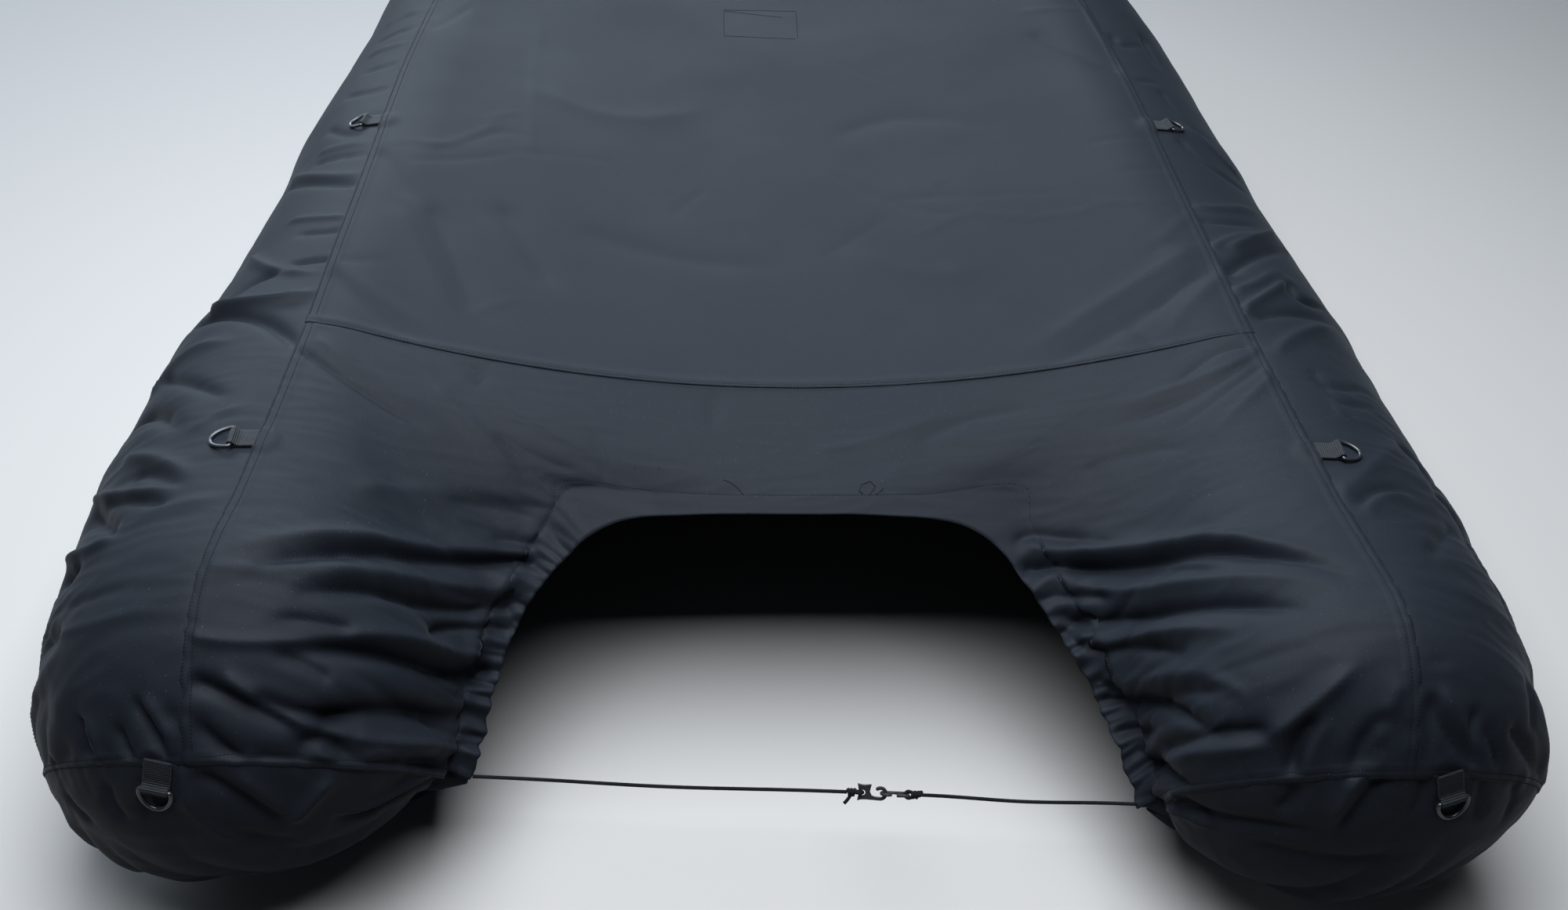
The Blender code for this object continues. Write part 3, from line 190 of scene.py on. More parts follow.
REAR_FOLDS = folds(1000, (
    (216, 89, 159, 502, 96, 861, 13, -12),
    (217, 154, 165, 533, 104, 938, 17, 8),
    (166, 73, 126, 444, 86, 749, 12, -12),
    (187, 120, 143, 452, 92, 776, 17, 6),
    (146, 31, 134, 220, 104, 363, 10, -9),
    (74, 622, 70, 714, 64, 803, 9, -5),
    (100, 66, 72, 467, 52, 718, 15, -16),
    (116, 135, 90, 425, 63, 668, 16, 8),
    (47, 981, 50, 822, 63, 664, 7, 4),
    (46, 768, 43, 680, 40, 629, 10, -5),
    (27, 969, 20, 830, 13, 676, 12, -10),
    (29, 888, 17, 703, 16, 490, 11, 7),
    (16, 490, 20, 351, 34, 158, 9, 5),
    (23, 799, 21, 660, 26, 510, 9, -7),
    (20, 606, 37, 413, 63, 46, 20, -13),
    (9, 656, 11, 583, 4, 506, 10, -7),
    (6, 606, 3, 583, 0, 537, 12, 5),
    (10, 958, 3, 884, 0, 822, 11, -8),
    (1, 776, 1, 714, 0, 637, 10, -5),
    (7, 452, 14, 340, 26, 201, 14, 6),
    (16, 120, 1, 297, 0, 452, 14, -8),
    (226, 131, 222, 201, 216, 259, 10, -5),
    (233, 398, 243, 263, 245, 166, 20, -5),
    (87, 965, 100, 784, 120, 618, 14, 4),
    (77, 170, 84, 124, 92, 54, 8, -6),
    (40, 255, 39, 185, 37, 120, 8, -5),
    (195, 680, 226, 498, 245, 309, 25, 3),
    (745, 54, 821, 525, 897, 903, 12, -12),
    (765, 185, 814, 421, 858, 610, 10, -5),
    (738, 112, 804, 506, 877, 853, 17, 8),
    (721, 77, 737, 185, 774, 375, 10, -5),
    (805, 66, 866, 479, 914, 764, 13, -12),
    (784, 181, 840, 459, 904, 861, 15, 6),
    (785, 104, 794, 185, 807, 239, 9, -6),
    (843, 100, 863, 274, 901, 440, 12, -10),
    (830, 85, 870, 359, 908, 602, 14, 7),
    (918, 328, 934, 448, 946, 533, 12, -5),
    (893, 12, 917, 266, 967, 463, 13, -13),
    (876, 62, 903, 332, 940, 560, 20, 5),
    (957, 278, 974, 510, 980, 633, 13, -8),
    (981, 625, 973, 741, 961, 853, 13, 9),
    (981, 726, 989, 672, 1000, 625, 10, -10),
    (983, 753, 990, 710, 999, 672, 10, 4),
    (984, 907, 991, 853, 999, 819, 10, -7),
    (973, 954, 983, 911, 991, 880, 14, 4),
    (957, 112, 983, 263, 1000, 328, 12, -10),
    (971, 286, 980, 456, 986, 618, 14, 5),
    (930, 31, 931, 97, 938, 239, 9, -7),
    (936, 517, 948, 568, 959, 587, 8, 2),
    (996, 861, 994, 892, 993, 915, 7, -3),
    (815, 8, 831, 46, 851, 46, 8, -5),
    (874, 46, 883, 81, 891, 77, 8, -5),
    (309, 985, 290, 811, 278, 598, 8, -4),
    (326, 950, 309, 784, 298, 583, 14, 3),
    (388, 900, 381, 819, 366, 707, 6, -2.5),
    (475, 927, 469, 784, 464, 649, 10, -2),
    (670, 985, 662, 865, 672, 745, 8, -3),
    (682, 981, 692, 741, 671, 486, 16, -4),
    (678, 996, 681, 819, 662, 595, 12, 3),
    (694, 981, 707, 842, 715, 656, 8, -2.5),
    (710, 988, 724, 888, 738, 761, 10, 2.5),
    (568, 533, 584, 676, 611, 676, 14, -2),
    (515, 479, 542, 560, 565, 707, 12, 1.5),
    (312, 432, 309, 293, 322, 247, 12, -2),
    (385, 459, 356, 293, 316, 178, 8, -1.5),
    (335, 653, 300, 448, 269, 278, 14, 2),
    (707, 375, 712, 502, 737, 680, 14, -2.5),
))
CENTRE_FOLDS = folds(1000, (
    (981, 69, 896, 35, 794, 4, 22, -6),
    (966, 89, 891, 62, 781, 23, 22, 5),
    (989, 58, 950, 35, 917, 12, 14, 3),
    (888, 27, 897, 12, 911, 0, 8, -3),
    (599, 390, 635, 371, 670, 355, 5, -1.5),
    (582, 228, 662, 185, 738, 174, 5, -1.6),
    (738, 174, 838, 158, 896, 166, 5, 1.6),
    (896, 166, 947, 158, 994, 151, 5, 1.8),
    (652, 197, 764, 193, 874, 185, 5, -1.2),
    (913, 247, 957, 247, 1000, 251, 5, -1.5),
    (940, 201, 974, 201, 1000, 201, 6, -1.8),
    (890, 467, 941, 471, 1000, 475, 7, 2),
    (896, 425, 957, 378, 1000, 363, 20, -4),
    (1000, 475, 1000, 436, 1000, 394, 14, 3),
    (557, 131, 597, 151, 638, 174, 5, -1.2),
    (674, 151, 702, 162, 738, 174, 5, 1.2),
    (694, 205, 707, 216, 720, 220, 4, 1.2),
    (763, 73, 815, 42, 888, 27, 7, -1.5),
    (950, 112, 971, 124, 994, 139, 8, 2),
    (934, 97, 953, 104, 989, 104, 8, -2),
    (918, 42, 948, 58, 979, 69, 8, -2.5),
    (817, 0, 860, 0, 903, 0, 8, 2),
    (69, 220, 119, 247, 146, 274, 5, 1.6),
    (113, 236, 146, 255, 189, 255, 5, -1.3),
    (52, 197, 114, 212, 183, 236, 5, -1.3),
    (192, 239, 180, 347, 169, 459, 7, 1),
    (190, 232, 240, 236, 299, 232, 5, -1),
    (156, 35, 177, 50, 210, 62, 5, 1),
    (375, 174, 396, 193, 416, 205, 5, -1.2),
    (14, 205, 41, 174, 67, 147, 18, -5),
    (93, 139, 130, 89, 162, 42, 22, -4),
    (175, 154, 213, 112, 243, 77, 26, -4),
    (60, 127, 104, 73, 143, 27, 22, 3),
    (6, 54, 52, 23, 119, 0, 15, -4),
    (0, 69, 46, 42, 107, 19, 15, 3),
    (7, 66, 27, 69, 56, 73, 6, -2),
    (20, 413, 41, 429, 66, 456, 7, -2),
    (132, 270, 147, 282, 176, 290, 5, 1),
    (23, 224, 56, 224, 94, 228, 6, 1.4),
    (283, 143, 378, 124, 489, 120, 40, -3),
    (602, 127, 672, 108, 738, 108, 40, 3),
    (205, 320, 312, 297, 415, 317, 40, 3),
    (599, 286, 685, 305, 787, 286, 40, -3),
))
PORT_FOLDS = folds(10000, (
    (101, 1509, 49, 1195, 0, 818, 9, -7),
    (105, 1195, 52, 755, 9, 377, 9, 4),
    (56, 2516, 19, 2579, 0, 2642, 8, -6),
    (101, 3836, 45, 4151, 10, 4400, 9, -6),
    (92, 3459, 40, 3774, 0, 4025, 9, 4),
    (27, 6226, 0, 6289, 0, 6600, 8, -5),
    (82, 503, 66, 377, 52, 252, 8, -3),
    (649, 4214, 641, 3836, 677, 3711, 12, -9),
    (760, 4340, 689, 3019, 706, 2516, 12, 7),
    (950, 4088, 807, 3145, 718, 2642, 18, -10),
    (1061, 4214, 913, 2579, 873, 1509, 10, 6),
    (936, 3270, 847, 2138, 803, 1447, 10, -6),
    (1000, 2704, 1010, 2390, 882, 1321, 12, -6),
    (1162, 3208, 1042, 2013, 931, 1258, 14, 5),
    (509, 4151, 451, 2704, 448, 1572, 8, -2),
    (389, 3774, 355, 2579, 339, 943, 8, 2),
    (437, 4969, 413, 4277, 399, 3899, 14, -6),
    (756, 1824, 769, 1069, 794, 126, 14, 3),
    (2138, 2893, 2037, 1195, 2096, 126, 11, 8),
    (2102, 3459, 1921, 1321, 1683, 0, 13, -9),
    (2192, 2642, 2277, 1887, 2277, 1006, 12, -6),
    (2339, 943, 2345, 377, 2350, 50, 7, -4),
    (2583, 2830, 2314, 1447, 2241, 377, 10, 5),
    (3308, 3019, 3042, 943, 3022, 63, 9, -4),
    (3391, 3019, 3130, 1069, 3109, 63, 9, 4),
    (2602, 1132, 2577, 314, 2615, 0, 9, -3),
    (2777, 1698, 2712, 629, 2712, 0, 9, 3),
    (3364, 1950, 3322, 1069, 3280, 63, 8, -3.5),
    (3497, 2013, 3440, 1069, 3405, 126, 8, 3),
    (4076, 1824, 4009, 881, 4016, 252, 7, -3),
    (4330, 1509, 4300, 755, 4323, 377, 7, -3),
    (4606, 1824, 4575, 1006, 4567, 377, 7, 3),
    (4761, 1761, 4761, 943, 4761, 314, 7, -3),
    (5005, 1824, 5013, 1195, 4974, 377, 7, 3),
    (1717, 3648, 1526, 2264, 1389, 1258, 11, -6),
    (1478, 4025, 1436, 3208, 1236, 2075, 17, -10),
    (1202, 1509, 1266, 1132, 1317, 629, 6, 3),
    (1711, 4025, 1806, 3082, 1773, 1824, 15, 5),
    (3739, 2075, 3560, 1069, 3553, 440, 8, -3),
))
STARBOARD_FOLDS = folds(10000, (
    (121, 440, 70, 943, 17, 2264, 9, -6),
    (137, 755, 80, 1384, 28, 2642, 9, 3),
    (105, 1761, 52, 1950, 12, 2642, 9, -5),
    (78, 2390, 50, 2956, 18, 3648, 8, -5),
    (101, 252, 63, 440, 23, 503, 8, -3),
    (97, 3333, 72, 4214, 36, 5535, 9, -6),
    (279, 3648, 177, 3899, 135, 4214, 10, -3),
    (1358, 2956, 1297, 3396, 1148, 3270, 14, -8),
    (900, 440, 991, 1132, 1024, 1887, 9, -5),
    (873, 503, 954, 1132, 977, 1887, 11, 4),
    (950, 50, 1066, 881, 1327, 2453, 16, 3),
    (1104, 3208, 1071, 3585, 1005, 3711, 10, -5),
    (895, 2893, 748, 1887, 649, 1384, 10, -4),
    (1024, 3962, 842, 3648, 706, 3711, 12, -4),
    (706, 3774, 633, 4025, 539, 3962, 12, -4),
    (207, 314, 212, 566, 218, 755, 6, -1.5),
    (2438, 252, 2615, 1321, 2895, 3208, 14, -8),
    (2641, 692, 2842, 2013, 3015, 3019, 10, 5),
    (2120, 63, 2277, 1069, 2463, 2075, 8, 6),
    (2407, 1887, 2320, 2138, 2382, 3145, 9, -8),
    (2090, 503, 2150, 1321, 2210, 2642, 12, -6),
    (2271, 63, 2345, 818, 2513, 1761, 10, 4),
    (2988, 252, 3015, 1132, 3171, 2642, 9, 3),
    (2862, 0, 2869, 881, 2928, 1887, 9, -3),
    (2628, 63, 2692, 566, 2823, 1635, 9, 3),
    (5021, 1950, 4855, 1887, 4668, 1887, 13, -6),
    (4887, 377, 4777, 503, 4863, 1447, 9, -3),
    (4338, 440, 4353, 818, 4338, 1132, 8, -2.5),
    (3682, 818, 3469, 1572, 3405, 2893, 8, -4),
    (3848, 1509, 3682, 2390, 3560, 3333, 7, 3),
    (4255, 1132, 3994, 1384, 3862, 2201, 8, -3),
    (1829, 440, 2002, 1447, 2186, 2956, 12, 4),
    (1711, 1132, 1623, 1384, 1700, 2642, 8, -3),
    (1617, 1195, 1526, 1447, 1569, 2390, 8, -3),
    (1569, 1132, 1499, 1258, 1410, 1195, 6, 2.5),
))
PORT_CAP_FOLDS = folds(1000, (
    (522, 69, 575, 174, 634, 336, 12, -7),
    (478, 66, 509, 247, 564, 417, 13, 6),
    (707, 108, 675, 220, 642, 332, 12, 7),
    (579, 81, 605, 158, 637, 278, 12, 4),
    (950, 112, 823, 347, 721, 363, 10, -8),
    (887, 50, 800, 278, 732, 328, 9, 5),
    (318, 143, 333, 251, 361, 301, 10, -4),
    (391, 93, 402, 193, 395, 286, 9, -3),
    (220, 259, 245, 344, 283, 405, 10, -3),
    (506, 228, 557, 367, 645, 471, 14, -4),
))
STARBOARD_CAP_FOLDS = folds(1000, (
    (542, 0, 571, 178, 589, 290, 12, -7),
    (584, 0, 597, 112, 607, 263, 12, 6),
    (678, 39, 677, 124, 695, 216, 12, -6),
    (843, 251, 744, 305, 621, 313, 12, -6),
    (704, 471, 594, 506, 489, 471, 16, -4),
    (466, 4, 476, 131, 496, 243, 12, -4),
    (342, 23, 351, 143, 352, 247, 10, -3),
    (263, 27, 269, 151, 285, 301, 10, -3),
    (970, 0, 873, 73, 790, 367, 9, -6),
    (976, 0, 857, 282, 783, 394, 9, 4),
))

# Hardware in the frame: name, root, way along, way out, and the ring's way from its bar
TAB_ROWS = (
    ("left_rear", (-0.6450, -1.2844, 0.0697), (-0.9993, -0.0366, 0.0005),
     (0.0007, -0.0063, 1.0000), (-0.9901, -0.0354, -0.1361)),
    ("right_rear", (0.6454, -1.2933, 0.0697), (0.9993, -0.0371, -0.0110),
     (0.0110, 0.0011, 0.9999), (0.9865, -0.0369, -0.1596)),
    ("left_front", (-0.6405, -0.4372, 0.0681), (-0.9631, 0.1550, -0.2199),
     (-0.2228, -0.0014, 0.9749), (-0.9204, 0.1535, -0.3597)),
    ("right_front", (0.6407, -0.4087, 0.0682), (0.9746, 0.1757, -0.1386),
     (0.1396, 0.0064, 0.9902), (0.9462, 0.1732, -0.2732)),
    ("left_stern", (-0.6909, -1.6612, -0.0765), (-0.1562, -0.3268, -0.9321),
     (-0.1255, -0.9295, 0.3469), (-0.1231, -0.1036, -0.9870)),
    ("right_stern", (0.7064, -1.6943, -0.0631), (0.2498, -0.2230, -0.9423),
     (0.1546, -0.9515, 0.2661), (0.2226, -0.0720, -0.9722)),
)
TAB_WIDTH = 0.030
TAB_LENGTH = 0.031
PLY = 0.0014
RING_WIRE = 0.0025
EYE_RADIUS = 0.0031
RING_BAR_HALF = 0.0157
RING_HALF_WIDTH = 0.018
RING_DEPTH = 0.0265

# Draw cord: side and where it leaves the cloth; hooks: side, origin and axes
CORD_ROWS = (
    ("left", (-0.3918, -1.5201, -0.2704)),
    ("right", (0.4258, -1.5669, -0.2704)),
)
CORD_SAG = 0.004
CORD_RADIUS = 0.00225
HOOK_ROWS = (
    ("left", (0.0810, -1.5472, -0.2704), (0.9984, -0.0572, 0.0), (0.0344, 0.6010, 0.7985)),
    ("right", (0.1461, -1.5509, -0.2704), (-0.9984, 0.0572, 0.0), (-0.0457, -0.7972, 0.6020)),
)
HOOK_THICKNESS = 0.0032
HOOK_EYE_AT = (0.0065, 0.0005)
HOOK_EYE_RADIUS = 0.0034
HOOK_BEND_AT = 0.0285
HOOK_BEND_OUTER = 0.0088
HOOK_BEND_INNER = 0.0045
HOOK_BODY_LOWER = ((0.0000, -0.0095), (0.0050, -0.0082), (0.0120, -0.0080), (0.0200, -0.0084))
HOOK_BODY_UPPER = ((0.0215, -0.0040), (0.0180, -0.0030), (0.0155, 0.0020), (0.0165, 0.0070),
                   (0.0175, 0.0108), (0.0080, 0.0100), (0.0000, 0.0115))
HOOK_TIP_ANGLE = 125.0

# Knot: its middle and its start along its hook's axis, and its cut tail's length and tilt
KNOT_AT = -0.0067
KNOT_START = KNOT_AT - 0.0062
KNOT_TAIL = 0.017
KNOT_TAIL_TILT = 55.0

# Ring: height of its square shoulders, and the sine its round end starts at, with the rest to 1;
# tab: how far its ends are tucked into the seam, and its ribs
RING_SHOULDER = 0.006
RING_BEND_START, RING_BEND_RISE = 0.18, 0.82
TAB_TUCK = 0.004
RIB_PITCH = 0.0027
RIB_DEPTH = 0.00035

# Gathers: pitch and reach of the fine puffs along the arch, the pitch of the fans of folds
# that run out from them and the share of the edge they fill on each side; the hem's pitch and
# how far it tucks in; the pitch of the edge's scallops; how far the facing lifts and fills out
FINE_GATHER_PITCH = 0.019
FINE_GATHER_REACH = 0.30
FAN_PITCH = 0.036
GATHERED_SHARE = 0.28
HEM_PITCH = 0.062
HEM_TUCK = 0.30
EDGE_PITCH = 0.030
FACING_LIFT = 0.0008
FACING_FILL = 0.0075

# Where each gather's noise starts, how it slants as it runs in, and over what share it fades;
# the hem's folds turn with the tube's end, over a length, and weaken forward of the stern
FINE_SEED, FAN_SEED, EDGE_SEED, HEM_SEED = 4.3, 11.7, 7.7, 2.9
FINE_SLANT = 0.05
FAN_SLANT = -0.04
GATHER_BLEND = 0.06
EDGE_REACH = 0.09
HEM_START = 0.22
HEM_BLEND = 0.55
HEM_TURN = 0.7
HEM_TURN_START, HEM_TURN_LENGTH = -0.35, 0.2
HEM_FORWARD = 0.25
HEM_FORWARD_START, HEM_FORWARD_LENGTH = 0.55, 0.5

# How far from the facing's line its lift, its filling and its stitch groove reach, as shares
LIFT_REACH = 0.03
FILL_REACH = 0.05
GROOVE_REACH = 0.006

# Unevenness: creases' size along each axis, their level and gain, sizes of the soft swells,
# and where the stern's creases start and over what length they grow
CRUMPLE_SIZE = (0.085, 0.020, 0.045)
CRUMPLE_LEVEL = 0.25
CRUMPLE_GAIN = 1.5
SWELL_SIZE = 0.19
RIPPLE_SIZE = 0.07
STERN_START = 0.12
STERN_LENGTH = 0.45
PUCKER_START = -0.35
PUCKER_LENGTH = 0.25
PUCKER_GAIN = 2.6

# The facing's stitch line: share along the arch, share in from its edge
FACING_ROW = ((0.0, 0.14), (0.2546, 0.130), (0.2804, 0.185), (0.36, 0.152), (0.43, 0.14),
              (0.57, 0.14), (0.65, 0.152), (0.6953, 0.189), (0.7167, 0.150), (1.0, 0.14))

# A fold's cross-section: how round its crest is, its spread and how sharply it falls away.
# Its ends, as shares of its length: how far before its start it rises, and over how much;
# where past its start it is gone again, and over how much it falls
FOLD_CREST = 0.0018
FOLD_SPREAD = 0.68
FOLD_SHARPNESS = 1.25
FOLD_BEFORE, FOLD_RISE = 0.30, 0.40
FOLD_PAST, FOLD_FALL = 1.15, 0.45

# Seams: how soon folds die out at them, their puckers, how far the upper cloth laps and drops,
# the grid lines at its ends, the groove under a stitch row, and the room under tabs and rings
SEAM_FADE = 0.010
PUCKER_PITCH = 0.013
PUCKER_REACH = 0.022
LAP_WIDTH = 0.009
LAP_DROP = 0.0012
LAP_ENDS = 6
STITCH_GROOVE = 0.0009
UNDER_DROP = 0.0022
TAB_ROOM = 0.0012
TAB_BUMP = 0.0040

# Stitch rows away from the seams, each through stations a, b on its panel
EXTRA_ROWS = {
    "rear_panel": (
        FACING_ROW,
        ((0.3763, 0.290), (0.3700, 0.262)),
        ((0.3963, 0.305), (0.3900, 0.275)),
    ),
    "centre_panel": (
        ((0.4406, 0.4290), (0.5450, 0.4262)),
        ((0.4406, 0.4715), (0.5478, 0.4725)),
        ((0.4406, 0.4700), (0.5290, 0.4610)),
        ((0.5462, 0.4280), (0.5470, 0.4710)),
        ((0.4406, 0.4310), (0.4406, 0.4700)),
    ),
}

# The cloth's faint sheen, and pale lint and dust caught on it
SHEEN_TINT = (0.75, 0.85, 1.0, 1.0)
LINT_COLOUR = (0.10, 0.11, 0.12, 1.0)

# Loose ends of sewing thread on the rear panel, each through stations a, b
LOOSE_THREADS = (
    ((0.4349, 0.141), (0.4378, 0.185), (0.4372, 0.225), (0.4320, 0.2471)),
    ((0.5660, 0.141), (0.5640, 0.200), (0.5565, 0.235), (0.5508, 0.215), (0.5530, 0.165),
     (0.5610, 0.141)),
    ((0.5720, 0.141), (0.5735, 0.205)),
)

# Stage: heading, pitch and roll of the camera in degrees; lights as place, target, size,
# power and colour
CAMERA_AT = (-0.106, -2.751, 1.2276)
CAMERA_TURNS = (3.66, 38.68, 2.70)
CAMERA_LENS = 35.1
FLOOR_Z = -0.41
FLOOR_COLOUR = (0.20, 0.20, 0.20)
WORLD_COLOUR = (0.78, 0.89, 1.0)
WORLD_STRENGTH = 0.05
LIGHT_ROWS = (
    ("sky", (-2.2, 6.5, 3.0), (-0.1, -0.4, 0.0), (7.3, 2.2), 820.0, (0.74, 0.87, 1.0)),
    ("overhead", (-0.2, -1.0, 2.6), (0.0, -1.0, 0.0), (3.0, 2.4), 420.0, (0.94, 0.97, 1.0)),
    ("left", (-4.2, 0.6, 1.7), (0.0, -0.4, -0.1), (1.8, 2.6), 50.0, (0.82, 0.91, 1.0)),
)


def blend(t):
    """Smooth step from 0 to 1."""
    t = np.clip(t, 0.0, 1.0)
    return t * t * (3.0 - 2.0 * t)


def read(rows, column, y):
    """A table's column at the stations y, straight between the rows."""
    return np.interp(y, [row[0] for row in rows], [row[column] for row in rows])


def at_stations(where, stations, table):
    """A table's rows at given places, straight between its stations."""
    return np.stack([np.interp(where, stations, column) for column in table.T], -1)


def unit(way):
    return way / np.maximum(np.linalg.norm(way, axis=-1), 1e-12)[..., None]


def run_along(points):
    """Distance of each point from the first, along the line."""
    return np.concatenate([[0.0], np.cumsum(np.linalg.norm(np.diff(points, axis=0), axis=1))])


# ---------------------------------------------------------------- tubes

def tube_axis():
    """The starboard tube's axis in plan: stations along it, x, y and the outward normal."""
    ys = np.linspace(AXIS_START, BOW_START, 60)[:-1]
    straight = np.stack([read(TUBE_ROWS, 1, ys), ys], -1)
    share = np.sin(np.linspace(0.0, math.pi / 2.0, 160))
    closing = np.maximum(0.0, 1.0 - share ** BOW_POWER) ** (1.0 / BOW_POWER)
    bow_x = read(TUBE_ROWS, 1, BOW_START) * closing
    bow = np.stack([bow_x, BOW_START + BOW_LENGTH * share], -1)
    points = np.concatenate([straight, bow])
    stations = AXIS_START + run_along(points)
    tangent = unit(np.gradient(points, stations, axis=0))
    normal = np.stack([tangent[:, 1], -tangent[:, 0]], -1)
    normal[-1] = (0.0, 1.0)
    return stations, points, normal


AXIS_S, AXIS_XY, AXIS_N = tube_axis()
TIP = AXIS_S[-1]


def axis_y(s):
    return np.interp(s, AXIS_S, AXIS_XY[:, 1])


def bow_rise(y):
    return BOW_RISE * blend((y - BOW_RISE_START) / BOW_RISE_LENGTH)


def end_scale(side, y):
    """How much of the tube's radius is left at y on its rounded end."""
    end = ENDS[side]
    reach = np.clip((end.centre_y - y) / end.length, 0.0, 1.0)
    return np.sqrt(1.0 - reach * reach)


def seam_angle(s):
    """Angle of the side seam from the crown, outward."""
    return np.arcsin(read(TUBE_ROWS, 2, axis_y(s)) / TUBE_RADIUS)


def tube_point(side, s, angle):
    """Point on the tube's skin at station s and an angle from the crown, outward."""
    s, angle = np.broadcast_arrays(s, angle)
    cx = np.interp(s, AXIS_S, AXIS_XY[:, 0])
    cy = axis_y(s)
    straight = s < BOW_START
    nx = np.where(straight, 1.0, np.interp(s, AXIS_S, AXIS_N[:, 0]))
    ny = np.where(straight, 0.0, np.interp(s, AXIS_S, AXIS_N[:, 1]))
    radius = TUBE_RADIUS * np.where(straight, end_scale(side, cy), 1.0)
    out = radius * np.sin(angle)
    z = radius * np.cos(angle) - TUBE_RADIUS + bow_rise(cy)
    return np.stack([side * (cx + nx * out), cy + ny * out, z], -1)


def seam_plane(side):
    """Height at the seam's top and slope of the sloping plane that the end seam lies in."""
    end = ENDS[side]
    top_z = TUBE_RADIUS * (float(end_scale(side, end.seam_y)) - 1.0)
    return top_z, (end.corner_z - top_z) / (end.corner_y - end.seam_y)


def end_seam_y(side, angle):
    """y where the end seam's plane cuts the tube at an angle from the crown."""
    end = ENDS[side]
    top_z, slope = seam_plane(side)
    low = np.full(np.shape(angle), end.centre_y - end.length + 1e-5)
    high = np.full(np.shape(angle), end.centre_y + 0.35)
    for _ in range(50):
        y = (low + high) / 2.0
        skin_z = TUBE_RADIUS * (end_scale(side, y) * np.cos(angle) - 1.0)
        above = skin_z > top_z + slope * (y - end.seam_y)
        low = np.where(above, low, y)
        high = np.where(above, y, high)
    return (low + high) / 2.0


# ---------------------------------------------------------------- the span between the tubes

def span_drop(inboard, half, sag):
    """Height at a distance inboard of a tube's axis: over the tube, then along a sagging span."""
    half = np.maximum(half, 0.02)
    sag = np.minimum(sag, 0.6 * half)
    low = np.zeros(np.shape(half + sag + inboard))
    high = np.minimum(half, 0.95 * TUBE_RADIUS) + low
    for _ in range(40):
        leave = (low + high) / 2.0
        root = np.sqrt(TUBE_RADIUS ** 2 - leave ** 2)
        deep = (TUBE_RADIUS - root) + (half - leave) * leave / (2.0 * root) > sag
        high = np.where(deep, leave, high)
        low = np.where(deep, low, leave)
    leave = (low + high) / 2.0
    root = np.sqrt(TUBE_RADIUS ** 2 - leave ** 2)
    rest = np.maximum(half - leave, 1e-4)
    curve = leave / root / (2.0 * rest)
    near_top = np.minimum(np.abs(inboard), 0.999 * TUBE_RADIUS)
    on_tube = TUBE_RADIUS - np.sqrt(TUBE_RADIUS ** 2 - near_top ** 2)
    free = sag - curve * (half - inboard) ** 2
    return -np.where(inboard < leave, on_tube, free)


def axis_distance(x, y):
    """Distance inboard of the tube's axis in plan, and y of the nearest point on the axis."""
    start, stop = AXIS_XY[40:-1], AXIS_XY[41:]
    leg = stop - start
    best = np.full(x.shape, 1e9)
    inboard = np.zeros(x.shape)
    near_y = np.zeros(x.shape)
    for (ax, ay), (lx, ly) in zip(start, leg):
        t = np.clip(((x - ax) * lx + (y - ay) * ly) / (lx * lx + ly * ly), 0.0, 1.0)
        distance = np.hypot(x - ax - t * lx, y - ay - t * ly)
        nearer = distance < best
        sign = np.sign(lx * (y - ay) - ly * (x - ax))
        best = np.where(nearer, distance, best)
        inboard = np.where(nearer, distance * sign, inboard)
        near_y = np.where(nearer, ay + t * ly, near_y)
    return inboard, near_y


def top_height(x, y):
    """Height of the top between and over the tubes."""
    x = np.abs(x)
    straight = y < BOW_START
    spacing = np.interp(y, AXIS_XY[:, 1], AXIS_XY[:, 0])
    inboard, near_y = axis_distance(x, y)
    inboard = np.where(straight, spacing - x, inboard)
    near_y = np.where(straight, y, near_y)
    middle_y = np.linspace(BOW_START, AXIS_XY[-1, 1], 60)
    middle_half = [np.hypot(AXIS_XY[:, 0], AXIS_XY[:, 1] - v).min() for v in middle_y]
    half = np.where(straight, spacing, np.interp(y, middle_y, middle_half))
    return span_drop(inboard, half, read(SAG_ROWS, 1, y)) + bow_rise(near_y)


# ---------------------------------------------------------------- rear panel

def arch_edge():
    """The arch's edge from port corner to starboard corner, and the facing's offset from it."""
    halves = []
    for side, column in ((-1, 1), (1, 2)):
        rows = np.array(ARCH_ROWS)
        end = ENDS[side]
        run = rows[:, 0]
        edge = np.stack([side * rows[:, column],
                         ARCH_TOP_Y + run * (end.corner_y - ARCH_TOP_Y),
                         ARCH_TOP_Z + run * (end.corner_z - ARCH_TOP_Z)], -1)
        facing = rows[:, 3:6] * (side, 1.0, 1.0)
        both = np.concatenate([edge, facing], -1)
        halves.append(both if side < 0 else both[::-1][1:])
    both = np.concatenate(halves)
    length = run_along(both[:, :3])
    share = np.linspace(0.0, 1.0, 400)
    fine = at_stations(share * length[-1], length, both)
    smooth = fine.copy()
    width = 5
    for i in range(width, len(fine) - width):
        smooth[i] = fine[i - width:i + width + 1].mean(axis=0)
    return share, smooth


ARCH_SHARE, ARCH_EDGE = arch_edge()
ARCH_LENGTH = np.linalg.norm(np.diff(ARCH_EDGE[:, :3], axis=0), axis=1).sum()


def at_arch(a):
    values = at_stations(a, ARCH_SHARE, ARCH_EDGE)
    return values[..., :3], values[..., 3:]


